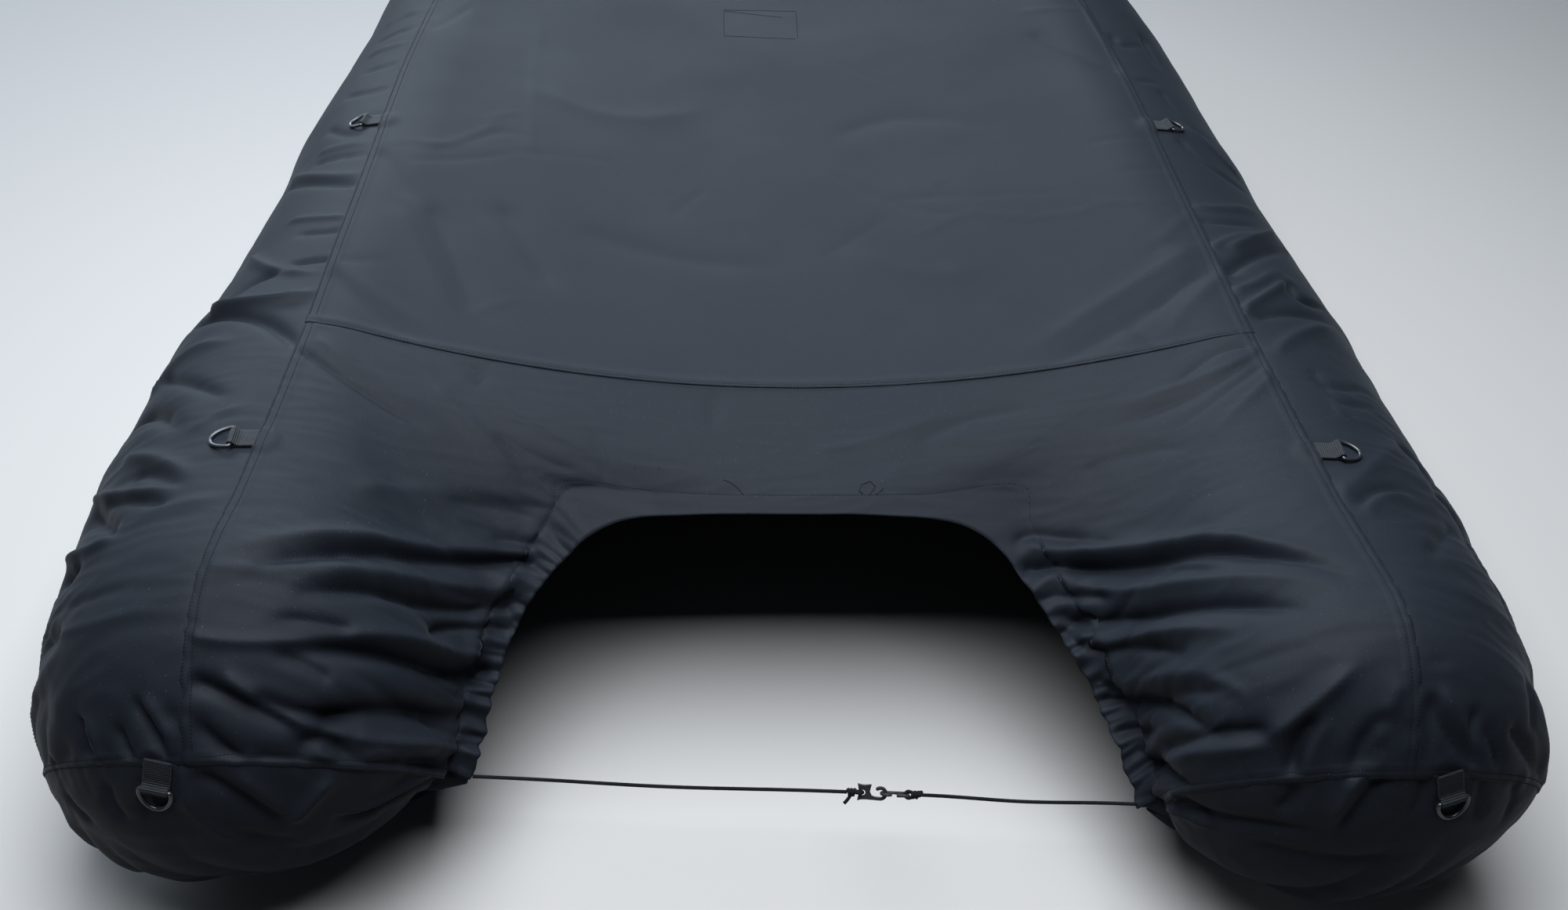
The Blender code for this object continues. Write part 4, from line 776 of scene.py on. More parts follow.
def taut_line(start, stop, radius, axis_x, share, slack):
    """Point at a share of the way from stop (0) to start (1) along a line pulled round the tube.

    start and stop are (outward, height) pairs in one cross-section of the tube.  A start
    within the slack of the tube's skin lies on it.
    """
    centre = np.stack([axis_x, np.full(np.shape(axis_x), -TUBE_RADIUS)], -1)
    from_start, from_stop = start - centre, stop - centre
    start_angle = np.arctan2(from_start[..., 0], from_start[..., 1])
    stop_angle = np.arctan2(from_stop[..., 0], from_stop[..., 1])
    stop_distance = np.hypot(from_stop[..., 0], from_stop[..., 1])
    start_distance = np.hypot(from_start[..., 0], from_start[..., 1])
    bend = np.minimum(radius, stop_distance)
    leave = stop_angle + np.arccos(np.clip(bend / stop_distance, -1.0, 1.0))
    wraps = (leave < start_angle) & (start_distance < radius + slack)
    direct = np.hypot(start[..., 0] - stop[..., 0], start[..., 1] - stop[..., 1])
    free = np.where(wraps, np.sqrt(np.maximum(stop_distance ** 2 - bend ** 2, 0.0)), direct)
    wound = np.where(wraps, bend * (start_angle - leave), 0.0)
    along = share * (free + wound)
    touch = centre + np.stack([bend * np.sin(leave), bend * np.cos(leave)], -1)
    target = np.where(wraps[..., None], touch, start)
    part = np.clip(along / np.maximum(free, 1e-9), 0.0, 1.0)[..., None]
    turned = np.clip((along - free) / np.maximum(wound, 1e-6), 0.0, 1.0)
    angle = leave + (start_angle - leave) * turned
    reach = bend + (radius - bend) * turned
    around = centre + np.stack([reach * np.sin(angle), reach * np.cos(angle)], -1)
    return np.where((along <= free)[..., None], stop + (target - stop) * part, around)


def end_seam_shift(side, share):
    """How far forward the rear panel's end seam bows, at shares from corner to side seam."""
    end = ENDS[side]
    top_z, slope = seam_plane(side)
    edge, facing = at_arch(0.0 if side < 0 else 1.0)
    corner = edge + facing
    axis_x, outboard = read(TUBE_ROWS, 1, end.seam_y), read(TUBE_ROWS, 2, end.seam_y)
    top_x = axis_x + outboard * end_scale(side, end.seam_y)
    start = np.broadcast_to([float(top_x), top_z], share.shape + (2,))
    stop = np.broadcast_to([side * corner[0], corner[2]], share.shape + (2,))
    line = corner[1] + (end.seam_y - corner[1]) * share
    y = line
    for _ in range(30):
        radius = TUBE_RADIUS * end_scale(side, y)
        height = taut_line(start, stop, radius, read(TUBE_ROWS, 1, y), share, BESIDE_SLACK)[..., 1]
        y = 0.5 * (y + end.seam_y + (height - top_z) / slope)
    return y - line


def rear_half(side, a, b):
    """Rear panel on one side: a from its corner (0) to the middle (0.5), b from the arch out."""
    end = ENDS[side]
    edge, facing = at_arch(a if side < 0 else 1.0 - a)
    inner = edge + facing
    beside = a < LEG_SHARE
    outer_y = np.where(beside, end.seam_y * (1.0 - np.clip(a / LEG_SHARE, 0.0, 1.0)), 0.0)
    scale = end_scale(side, outer_y)
    axis_x = read(TUBE_ROWS, 1, outer_y)
    beside_x = axis_x + read(TUBE_ROWS, 2, outer_y) * scale
    rise = np.maximum((TUBE_RADIUS * scale) ** 2 - (beside_x - axis_x) ** 2, 0.0)
    beside_z = np.sqrt(rise) - TUBE_RADIUS
    across_x = CROSS_SEAM_HALF * (1.0 - np.clip((a - LEG_SHARE) / (0.5 - LEG_SHARE), 0.0, 1.0))
    across_z = top_height(across_x, np.zeros(a.shape))
    outer_x, outer_z = np.where(beside, beside_x, across_x), np.where(beside, beside_z, across_z)
    outer = np.stack([outer_x, outer_z], -1)
    share = np.clip((b - FACING_SHARE) / (1.0 - FACING_SHARE), 0.0, 1.0)
    y = inner[..., 1] + (outer_y - inner[..., 1]) * share
    y = y + end_seam_shift(side, share) * (1.0 - blend(a / LEG_SHARE))
    stop = np.stack([side * inner[..., 0], inner[..., 2]], -1)
    slack = np.where(beside, BESIDE_SLACK, ACROSS_SLACK)
    radius = TUBE_RADIUS * end_scale(side, y)
    line = taut_line(outer, stop, radius, read(TUBE_ROWS, 1, y), share, slack)
    panel = np.stack([side * line[..., 0], y, line[..., 1]], -1)
    band = edge + facing * np.clip(b / FACING_SHARE, 0.0, 1.0)[..., None]
    return np.where((b < FACING_SHARE)[..., None], band, panel)


def rear_base(a, b):
    """Rear panel: a along the arch from port to starboard, b from the arch to the outer seams."""
    port = rear_half(-1, np.minimum(a, 0.5), b)
    starboard = rear_half(1, np.minimum(1.0 - a, 0.5), b)
    return np.where((a < 0.5)[..., None], port, starboard)


# ---------------------------------------------------------------- side panels, caps and centre panel

def side_base(side, a, b):
    """Side panel: a from the end seam to the bow, b from the side seam to the hem."""
    s = -0.6 + (TIP + 0.6) * a
    for _ in range(3):
        top = seam_angle(s)
        angle = top + (HEM_ANGLE - top) * b
        first = end_seam_y(side, angle)
        s = first + (TIP - first) * a
    point = tube_point(side, s, angle)
    swell = read(SWELL_ROWS, 1 if side < 0 else 2, point[..., 1])
    swell = swell * np.sin(np.pi * np.clip(1.05 * b - 0.02, 0.0, 1.0))
    turn = HEM_ANGLE * b
    normal = np.stack([side * np.sin(turn), np.zeros(turn.shape), np.cos(turn)], -1)
    round_tube = (angle - CORNER_ANGLE) / CORNER_SPREAD
    along_tube = (point[..., 1] - ENDS[side].corner_y) / CORNER_LENGTH
    corner = np.exp(-round_tube ** 2 - along_tube ** 2)
    return point + normal * (swell * blend(a / 0.06) + CORNER_BULGE[side] * corner)[..., None]


def cap_seam(side, f):
    """The end seam: f from the outer hem corner by the side seam (0.5) to the cord's corner."""
    corner = 0.0 if side < 0 else 1.0
    outside = side_base(side, np.zeros(f.shape), np.clip(1.0 - 2.0 * f, 0.0, 1.0))
    inside = rear_base(np.full(f.shape, corner), np.clip(2.0 - 2.0 * f, 0.0, 1.0))
    return np.where((f < 0.5)[..., None], outside, inside)


def cap_base(side, f, g):
    """End cap: f round the end seam as above, g from that seam under to the cap's hem."""
    end = ENDS[side]
    centre = np.array([side * float(read(TUBE_ROWS, 1, end.centre_y)), end.centre_y, -TUBE_RADIUS])

    def scaled(point):
        depth = np.where(point[..., 1] < end.centre_y, end.length, TUBE_RADIUS)
        radius = np.full(depth.shape, TUBE_RADIUS)
        size = np.stack([side * radius, depth, radius], -1)
        return (point - centre) / size

    seam = scaled(cap_seam(side, f))
    first, last = scaled(cap_seam(side, np.array([0.0, 1.0])))
    first_turn, last_turn = math.atan2(first[1], first[0]), math.atan2(last[1], last[0])
    turn = first_turn + (last_turn - first_turn) * f
    rows = CAP_HEM_ROWS[side]
    shares = (0.0, *(row[0] for row in rows), 1.0)
    outer_height, inner_height = first[2] - CAP_HEM_DROPS[0], last[2] - CAP_HEM_DROPS[1]
    height = np.interp(f, shares, (outer_height, *(row[1] for row in rows), inner_height))
    inner_reach = CAP_HEM_INNER * float(np.linalg.norm(last))
    reach = np.interp(f, shares, (CAP_HEM_CORNER[side], *(row[2] for row in rows), inner_reach))
    level = np.sqrt(np.maximum(reach ** 2 - height ** 2, 0.01))
    hem = np.stack([level * np.cos(turn), level * np.sin(turn), height], -1)
    seam_reach, hem_reach = np.linalg.norm(seam, axis=-1), np.linalg.norm(hem, axis=-1)
    seam_way, hem_way = seam / seam_reach[..., None], hem / hem_reach[..., None]
    spread = np.arccos(np.clip((seam_way * hem_way).sum(-1), -1.0, 1.0))
    spread = np.maximum(spread, 1e-6)
    from_seam, from_hem = np.sin((1.0 - g) * spread)[..., None], np.sin(g * spread)[..., None]
    way = from_seam * seam_way + from_hem * hem_way
    way = way / np.sin(spread)[..., None] * (seam_reach + (hem_reach - seam_reach) * g)[..., None]
    y = centre[1] + way[..., 1] * np.where(way[..., 1] < 0.0, end.length, TUBE_RADIUS)
    x = centre[0] + side * TUBE_RADIUS * way[..., 0]
    return np.stack([x, y, centre[2] + TUBE_RADIUS * way[..., 2]], -1)


def centre_base(a, b):
    """Centre panel: a across from port to starboard, b from the cross seam to the bow."""
    corner_s = TIP - BOW_PATCH

    def seam(side, s):
        return tube_point(side, s, seam_angle(s))[..., :2]

    u = 2.0 * a - 1.0
    port, starboard = seam(-1, corner_s * b), seam(1, corner_s * b)
    front = seam(1, TIP - BOW_PATCH * np.abs(u)) * np.stack([np.sign(u), np.ones(u.shape)], -1)
    rear = np.stack([u * CROSS_SEAM_HALF, np.zeros(u.shape)], -1)
    a, b = a[..., None], b[..., None]
    corners = ((1.0 - b) * ((1.0 - a) * seam(-1, 0.0) + a * seam(1, 0.0))
               + b * ((1.0 - a) * seam(-1, corner_s) + a * seam(1, corner_s)))
    plan = (1.0 - a) * port + a * starboard + (1.0 - b) * rear + b * front - corners
    return np.concatenate([plan, top_height(plan[..., 0], plan[..., 1])[..., None]], -1)


# ---------------------------------------------------------------- folded cloth

# How a side of a panel is sewn: lines beyond the seam where it laps over, lines back from
# the seam, and its stitch rows, all as distances from the seam
Seam = namedtuple("Seam", "laps band rows")
FELLED = Seam((0.0025, 0.0050), (0.0, 0.0030, 0.0065, 0.0095, 0.0135, 0.0180), (-0.0025, 0.0065))
LAPPED = Seam((0.0015, 0.0035), (0.0, 0.0025, 0.0055, 0.0100, 0.0150), (0.0025,))
UNDER = Seam((), (0.0, 0.0050, 0.0100, 0.0160), ())

# A cloth panel: its plain shape, folds, seams by side, how it is drawn in ("arch" along the
# arch's edge, "hem" along its free hem, "" not at all) and 1 or -1 for the way its outside faces
Panel = namedtuple("Panel", "base folds seams drawn turn")
Grid = namedtuple("Grid", "points normals a_marks b_marks")


def outward(panel, a, b):
    """Unit normals of the plain shape, facing out."""
    step = 0.004
    a_low, a_high = np.clip(a - step, 0.0, 1.0), np.clip(a + step, 0.0, 1.0)
    b_low, b_high = np.clip(b - step, 0.0, 1.0), np.clip(b + step, 0.0, 1.0)
    along = panel.base(a_high, b) - panel.base(a_low, b)
    across = panel.base(a, b_high) - panel.base(a, b_low)
    return unit(np.cross(along, across)) * panel.turn


def fold_line(panel, row):
    """Points along a fold: a smooth curve through its three stations."""
    t = np.linspace(0.0, 1.0, 13)
    first, middle, last = (1.0 - t) * (1.0 - 2.0 * t), 4.0 * t * (1.0 - t), t * (2.0 * t - 1.0)
    a = first * row[0] + middle * row[2] + last * row[4]
    b = first * row[1] + middle * row[3] + last * row[5]
    return panel.base(np.clip(a, 0.0, 1.0), np.clip(b, 0.0, 1.0))


def add_fold(panel, row, points, height):
    """Adds one fold's height to the cloth, where the cloth is near it."""
    line = fold_line(panel, row)
    width = row[6] / 1000.0
    above, below = points > line.min(axis=0) - 3.0 * width, points < line.max(axis=0) + 3.0 * width
    near = (above & below).all(axis=1)
    chosen = np.nonzero(near)[0]
    if not len(chosen):
        return
    start, leg = line[:-1], np.diff(line, axis=0)
    offset = points[chosen][:, None] - start[None]
    along = np.clip((offset * leg).sum(-1) / np.maximum((leg * leg).sum(-1), 1e-12), 0.0, 1.0)
    distance = np.linalg.norm(offset - along[..., None] * leg, axis=-1)
    nearest = distance.argmin(axis=1)
    order = np.arange(len(chosen))
    t = (nearest + along[order, nearest]) / len(leg)
    taper = blend((t + FOLD_BEFORE) / FOLD_RISE) * blend((FOLD_PAST - t) / FOLD_FALL)
    away = np.sqrt(distance[order, nearest] ** 2 + FOLD_CREST ** 2) - FOLD_CREST
    section = np.exp(-(away / (FOLD_SPREAD * width)) ** FOLD_SHARPNESS)
    height[chosen] += row[7] / 1000.0 * taper * section


def side_line(panel, name, run, inset=0.0):
    """Points along one side of a panel, or a share in from it."""
    fixed = np.full(run.shape, abs(float(name[1]) - inset))
    return panel.base(fixed, run) if name[0] == "a" else panel.base(run, fixed)


def nearest_on(line, points):
    """Distance to a line of points, and the nearest point on it."""
    tree = KDTree(len(line))
    for i, point in enumerate(line):
        tree.insert(point, i)
    tree.balance()
    found = [tree.find(point) for point in points]
    return np.array([item[2] for item in found]), [item[0] for item in found]


def cover_sizes():
    return bpy.context.scene.boat_cover_sizes


def noise_at(points, scale):
    return np.array([noise.noise(Vector(point / scale)) for point in points])


def creases(run, reach, pitch, stretch, seed):
    """Puffs with sharp valleys between them: pitch apart along the run, long in the reach."""
    places = zip(run.ravel() / pitch, reach.ravel() / stretch)
    values = [noise.noise(Vector((x, y, seed))) for x, y in places]
    return np.abs(np.array(values)).reshape(run.shape) * 1.9 - 0.42


def at_legs(a, share, fade):
    """1 on the arch's legs, within a share of the edge's ends, fading out over another."""
    return blend((share - np.minimum(a, 1.0 - a)) / fade)


def arch_gathers(a, b):
    """Puffs along the drawn edge of the arch that run out into fans of folds over the legs."""
    sizes = cover_sizes()
    run = a * ARCH_LENGTH
    beside = at_legs(a, GATHERED_SHARE, GATHER_BLEND)
    fine = creases(run + FINE_SLANT * b, b, FINE_GATHER_PITCH, 0.30, FINE_SEED)
    fine = fine * np.exp(-(b / FINE_GATHER_REACH) ** 1.6)
    fan = creases(run + FAN_SLANT * b, b, FAN_PITCH, 0.9, FAN_SEED) * blend((1.0 - b) / 0.5)
    fan = fan * (1.0 - 0.65 * blend(b / 0.55))
    return beside * (sizes.gather_depth * fine + sizes.fan_depth * fan)


def facing_line(a):
    """How far in from the arch's edge the facing's stitch line lies, as a share."""
    rows = np.array(FACING_ROW)
    return np.interp(a, rows[:, 0], rows[:, 1])


def edge_waver(panel, a, b):
    """How the arch's drawn edge wavers in the cloth's own plane."""
    if panel.drawn != "arch":
        return 0.0
    sizes = cover_sizes()
    edge = np.zeros(a.shape)
    way = unit(panel.base(a, edge) - panel.base(a, edge + 0.04))
    run = a * ARCH_LENGTH
    beside = at_legs(a, GATHERED_SHARE - GATHER_BLEND, 0.08)
    wave = beside * creases(run, edge, EDGE_PITCH, 1.0, EDGE_SEED) * np.exp(-(b / EDGE_REACH) ** 2)
    return way * (sizes.edge_depth * wave)[..., None]


def hem_gathers(b, points):
    """Folds that the hem's cord draws up from the hem, strongest at the stern."""
    sizes = cover_sizes()
    x, y = np.abs(points[:, 0]), points[:, 1]
    run = y + HEM_TURN * x * blend((HEM_TURN_START - y) / HEM_TURN_LENGTH)
    stern = HEM_FORWARD + (1.0 - HEM_FORWARD) * blend((HEM_FORWARD_START - y) / HEM_FORWARD_LENGTH)
    near_hem = blend((b - HEM_START) / HEM_BLEND)
    folded = creases(run, b, HEM_PITCH, 1.1, HEM_SEED)
    return sizes.hem_depth * stern * (folded * near_hem - HEM_TUCK * near_hem)


def tab_room(points, normals, height):
    """Lowers the cloth under a tab and its ring to the plane they lie in."""
    for _name, root, along, out, _reach in TAB_ROWS:
        root, along, out = np.array(root) - ORIGIN, np.array(along), np.array(out)
        offset = points - root
        t = np.clip(offset @ along, 0.004, TAB_LENGTH)
        away = np.linalg.norm(offset - t[:, None] * along, axis=1)
        weight = 1.0 - blend((away - 0.018) / 0.022)
        facing = np.maximum(normals @ out, 0.3)
        plane = -(offset @ out) / facing - TAB_ROOM
        height = height - weight * np.maximum(height - plane, 0.0)
    return height


def relief(panel, a, b, points, normals):
    """Height of the folds, gathers, puckers and laps over the plain shape."""
    sizes = cover_sizes()
    height = np.zeros(len(points))
    for row in panel.folds:
        add_fold(panel, row, points, height)
    height *= sizes.drawn_fold_height if panel.drawn else sizes.fold_height
    if panel.drawn == "arch":
        beyond = b - facing_line(a)
        legs = at_legs(a, GATHERED_SHARE, 0.10)
        height += arch_gathers(a, b)
        height += FACING_LIFT * (1.0 - blend(beyond / LIFT_REACH))
        height += FACING_FILL * legs * np.exp(-(beyond / FILL_REACH) ** 2)
        height -= STITCH_GROOVE * np.exp(-(beyond / GROOVE_REACH) ** 2)
    if panel.drawn == "hem":
        height += hem_gathers(b, points)
    stern = blend((STERN_START - points[:, 1]) / STERN_LENGTH)
    stretched = points * tuple(1.0 / size for size in CRUMPLE_SIZE)
    ridges = CRUMPLE_LEVEL - np.abs(np.array([noise.noise(Vector(p)) for p in stretched]))
    height += CRUMPLE_GAIN * sizes.crumple_depth * stern * ridges
    height += sizes.softness * (noise_at(points, SWELL_SIZE) + 0.3 * noise_at(points, RIPPLE_SIZE))
    fade = np.ones(len(points))
    lift = np.zeros(len(points))
    across = np.zeros(len(points))
    if panel.drawn == "arch":
        across = blend((np.minimum(a, 1.0 - a) - LEG_SHARE) / 0.004)
    for name, seam in panel.seams.items():
        distance, touch = nearest_on(side_line(panel, name, np.linspace(0.0, 1.0, 1200)), points)
        fade = np.minimum(fade, blend(distance / SEAM_FADE))
        pucker = np.array([noise.noise(point / PUCKER_PITCH) for point in touch])
        strength = 1.0 + PUCKER_GAIN * blend((PUCKER_START - points[:, 1]) / PUCKER_LENGTH)
        lift += sizes.pucker_depth * strength * pucker * np.exp(-distance / PUCKER_REACH)
        if seam.laps:
            under = -UNDER_DROP * across * np.exp(-distance / 0.02)
            lapped = 1.0 - blend((distance - LAP_WIDTH) / 0.005)
            lift += under + (1.0 - across) * sizes.seam_lift * lapped
            for _name, root, _along, _out, _reach in TAB_ROWS:
                away = np.linalg.norm(points - (np.array(root) - ORIGIN), axis=1)
                lift = np.maximum(lift, TAB_BUMP * (1.0 - blend((away - 0.016) / 0.014)))
    height = height * fade + lift
    if panel.drawn == "hem":
        height = tab_room(points, normals, height)
    return height


def dressed(panel, a, b):
    """The panel's points in its own plane, their normals and the relief's height."""
    points, normals = panel.base(a, b), outward(panel, a, b)
    height = relief(panel, a.ravel(), b.ravel(), points.reshape(-1, 3), normals.reshape(-1, 3))
    return points + edge_waver(panel, a, b), normals, height.reshape(a.shape)


def share_per_metre(panel, name, shares):
    """How much of a panel's share one metre of cloth takes, next to one of its sides."""
    step = 0.003
    leg = side_line(panel, name, shares, step) - side_line(panel, name, shares)
    return step / np.maximum(np.linalg.norm(leg, axis=-1), 1e-6)


def lines_across(panel, axis, inner, shares):
    """Shares of each grid line and its distance from the seam, None for the lines between seams."""
    low, high = panel.seams.get(axis + "0"), panel.seams.get(axis + "1")
    start, stop = np.zeros(len(shares)), np.ones(len(shares))
    lines, marks = [], []
    if low:
        scale = share_per_metre(panel, axis + "0", shares)
        lines += [distance * scale for distance in low.band]
        marks += [(axis + "0", distance) for distance in low.band]
        start = low.band[-1] * scale
    tail = []
    if high:
        scale = share_per_metre(panel, axis + "1", shares)
        tail = [1.0 - distance * scale for distance in reversed(high.band)]
        stop = 1.0 - high.band[-1] * scale
    for value in inner[1 if low else 0:-1 if high else None]:
        lines.append(start + (stop - start) * value)
        marks.append(None)
    lines += tail
    if high:
        marks += [(axis + "1", distance) for distance in reversed(high.band)]
    return np.array(lines), marks


def nominal(inner, low, high):
    """Rough shares of the grid lines, to measure the cloth at."""
    middle = inner[1 if low else 0:-1 if high else None]
    before = [0.0] * (len(low.band) if low else 0)
    after = [1.0] * (len(high.band) if high else 0)
    return np.array(before + list(middle) + after)


def add_laps(points, normals, height, marks, name, seam):
    """The cloth carried past its seam, straight on from its edge."""
    start = name[1] == "0"
    axis = 0 if name[0] == "a" else 1
    points, normals, height = (np.moveaxis(item, axis, 0) for item in (points, normals, height))
    edge, inner = (points[0], points[1]) if start else (points[-1], points[-2])
    way = unit(edge - inner)
    end = 0 if start else -1
    for order, distance in enumerate(seam.laps):
        drop = LAP_DROP if order == len(seam.laps) - 1 else 0.0
        new = [(edge + way * distance)[None], normals[end][None], (height[end] - drop)[None]]
        old = [points, normals, height]
        points, normals, height = (np.concatenate([n, o] if start else [o, n])
                                   for n, o in zip(new, old))
        marks.insert(0 if start else len(marks), (name, -distance))
    return tuple(np.moveaxis(item, 0, axis) for item in (points, normals, height))


def cloth_grid(panel, inner_a, inner_b):
    """Every point of a panel's finished cloth, with its seam bands and laps."""
    seams = panel.seams
    rough_a = nominal(inner_a, seams.get("a0"), seams.get("a1"))
    rough_b = nominal(inner_b, seams.get("b0"), seams.get("b1"))
    a, a_marks = lines_across(panel, "a", inner_a, rough_b)
    b, b_marks = lines_across(panel, "b", inner_b, rough_a)
    a, b = np.clip(a, 0.0, 1.0), np.clip(b.T, 0.0, 1.0)
    points, normals, height = dressed(panel, a, b)
    for name, seam in seams.items():
        marks = a_marks if name[0] == "a" else b_marks
        points, normals, height = add_laps(points, normals, height, marks, name, seam)
    for marks, axis in ((a_marks, 0), (b_marks, 1)):
        for i, mark in enumerate(marks):
            if mark and mark[1] in seams[mark[0]].rows:
                np.moveaxis(height, axis, 0)[i] -= STITCH_GROOVE
    return Grid(points + normals * height[..., None] + ORIGIN, normals, a_marks, b_marks)


def stitch_lines(grid, panel):
    """The grid lines that stitch rows follow; an arch panel's outer rows stop at the cross seam."""
    lines = []
    for marks, axis in ((grid.a_marks, 0), (grid.b_marks, 1)):
        for i, mark in enumerate(marks):
            if not mark or mark[1] not in panel.seams[mark[0]].rows:
                continue
            points, normals = (np.moveaxis(item, axis, 0)[i] for item in grid[:2])
            parts = [slice(LAP_ENDS, -LAP_ENDS)]
            if panel.drawn == "arch" and axis == 1:
                beside = np.nonzero(points[:, 1] > ORIGIN[1] - 0.004)[0]
                parts = [slice(LAP_ENDS, beside[0]), slice(beside[-1] + 1, -LAP_ENDS)]
            lines += [(points[part], normals[part]) for part in parts]
    return lines


# ---------------------------------------------------------------- materials

def add_node(tree, kind, place=(0, 0), feeds=None, **values):
    """A node with its settings, and its inputs fed by sockets or plain values."""
    node = tree.nodes.new(kind)
    node.location = place
    for key, value in values.items():
        setattr(node, key, value)
    feed(tree, node, feeds or {})
    return node


def feed(tree, node, feeds):
    """Feeds a node's inputs from sockets, or sets them to plain values."""
    for key, value in feeds.items():
        if isinstance(value, bpy.types.NodeSocket):
            tree.links.new(value, node.inputs[key])
        else:
            node.inputs[key].default_value = value


def calculate(tree, operation, first, second=None, place=(0, 0)):
    """A Math node fed by sockets or plain numbers."""
    feeds = {0: first} if second is None else {0: first, 1: second}
    return add_node(tree, "ShaderNodeMath", place, feeds, operation=operation).outputs[0]


def same(start, name, **values):
    """Feeds that carry a group's own inputs on, under their own names."""
    return {label: start.outputs[label] for label in name.split()} | values


def fill_weave(group, start):
    """Plain weave: threads over and under each other, a little uneven."""
    split = add_node(group, "ShaderNodeSeparateXYZ", (-700, 0), same(start, "Vector"))
    turns = calculate(group, "DIVIDE", math.pi, start.outputs["Thread pitch"], (-700, -200))
    warp, weft = (calculate(group, "SINE", calculate(group, "MULTIPLY", split.outputs[i], turns))
                  for i in (0, 1))
    cross = calculate(group, "MULTIPLY", warp, weft, (-100, 0))
    stretch = add_node(group, "ShaderNodeMapping", (-500, -300),
                       same(start, "Vector", Scale=(0.12, 1.0, 1.0)))
    slub = add_node(group, "ShaderNodeTexNoise", (-300, -300),
                    {"Scale": 420.0, "Detail": 2.0, "Vector": stretch.outputs[0]})
    shade = slub.outputs["Fac"]
    uneven = calculate(group, "MULTIPLY", shade, start.outputs["Unevenness"], (0, -200))
    height = calculate(group, "ADD", calculate(group, "MULTIPLY", cross, 0.5), uneven, (200, 0))
    return {"Height": height, "Shade": shade}


def fill_lint(group, start):
    """Fine pale lint and dust caught on cloth, as a mask."""
    specks = add_node(group, "ShaderNodeTexNoise", (-500, 0),
                      same(start, "Vector Scale", Detail=1.0))
    ramp = add_node(group, "ShaderNodeMapRange", (-250, 0),
                    {"From Min": 0.71, "From Max": 0.80, "Value": specks.outputs["Fac"]},
                    clamp=True)
    patch = add_node(group, "ShaderNodeTexNoise", (-500, -250), same(start, "Vector", Scale=5.0))
    strength = calculate(group, "MULTIPLY", ramp.outputs[0], patch.outputs["Fac"], (0, 0))
    return {"Mask": calculate(group, "MULTIPLY", strength, start.outputs["Amount"], (200, 0))}


def fill_grain(group, start):
    """Fine grain and slow unevenness of moulded plastic."""
    grain = add_node(group, "ShaderNodeTexNoise", (-400, 0),
                     same(start, "Vector Scale", Detail=3.0))
    wear = add_node(group, "ShaderNodeTexNoise", (-400, -250), same(start, "Vector", Scale=120.0))
    return {"Height": grain.outputs["Fac"], "Wear": wear.outputs["Fac"]}


# Shader groups: how each is filled, its inputs with their first values, and its outputs
GROUPS = {
    "Plain weave": (fill_weave, {"Vector": None, "Thread pitch": 0.001, "Unevenness": 0.3},
                    ("Height", "Shade")),
    "Lint": (fill_lint, {"Vector": None, "Scale": 420.0, "Amount": 0.3}, ("Mask",)),
    "Moulded grain": (fill_grain, {"Vector": None, "Scale": 900.0}, ("Height", "Wear")),
}


def group_named(name):
    """A shader group, built the first time it is asked for."""
    found = bpy.data.node_groups.get(name)
    if found:
        return found
    fill, inputs, outputs = GROUPS[name]
    group = bpy.data.node_groups.new(name, "ShaderNodeTree")
    for label, value in inputs.items():
        kind = "NodeSocketVector" if value is None else "NodeSocketFloat"
        socket = group.interface.new_socket(name=label, in_out="INPUT", socket_type=kind)
        if value is not None:
            socket.default_value = value
    for label in outputs:
        group.interface.new_socket(name=label, in_out="OUTPUT", socket_type="NodeSocketFloat")
    start = add_node(group, "NodeGroupInput", (-900, 0))
    end = add_node(group, "NodeGroupOutput", (600, 0))
    feed(group, end, fill(group, start))
    return group


def start_material(name, colour, roughness, sheen=0.0, specular=0.5):
    """A named material with its shader's constants set."""
    material = bpy.data.materials.new(name)
    material.use_nodes = True
    material.diffuse_color = (*colour, 1.0)
    tree = material.node_tree
    shader = tree.nodes["Principled BSDF"]
    feed(tree, shader, {"Base Color": (*colour, 1.0), "Roughness": roughness,
                        "Specular IOR Level": specular})
    if sheen:
        feed(tree, shader,
             {"Sheen Weight": sheen, "Sheen Roughness": 0.30, "Sheen Tint": SHEEN_TINT})
    return material, tree, shader


def place_group(tree, name, feeds):
    return add_node(tree, "ShaderNodeGroup", (-500, -200), feeds, node_tree=group_named(name))


def lighter(colour, times):
    return tuple(min(1.0, value * times) for value in colour)


def mixed(tree, first, second, mask, place=(-200, 200)):
    """Two colours mixed by a mask."""
    mix = add_node(tree, "ShaderNodeMix", place, data_type="RGBA")
    feed(tree, mix, {"A": first, "B": second, "Factor": mask})
    return mix.outputs["Result"]


def tint(tree, base, times, mask, strength):
    """A colour and a lighter one mixed by a share of a mask."""
    share = calculate(tree, "MULTIPLY", mask, strength)
    return mixed(tree, (*base, 1.0), (*lighter(base, times), 1.0), share)


def bump(tree, shader, height, distance, strength):
    node = add_node(tree, "ShaderNodeBump", (-150, -300),
                    {"Strength": strength, "Distance": distance, "Height": height})
    feed(tree, shader, {"Normal": node.outputs["Normal"]})


def cloth_map(tree, layer="cloth"):
    """The piece's own map, laid out in metres."""
    return add_node(tree, "ShaderNodeUVMap", (-1000, 0), uv_map=layer).outputs[0]


def piece_place(tree):
    return add_node(tree, "ShaderNodeTexCoord", (-1000, -300)).outputs["Object"]


def uneven_gloss(tree, shader, mask, low, high):
    """Roughness between two values, by a mask."""
    rough = add_node(tree, "ShaderNodeMapRange", (0, 0),
                     {"To Min": low, "To Max": high, "Value": mask})
    feed(tree, shader, {"Roughness": rough.outputs[0]})


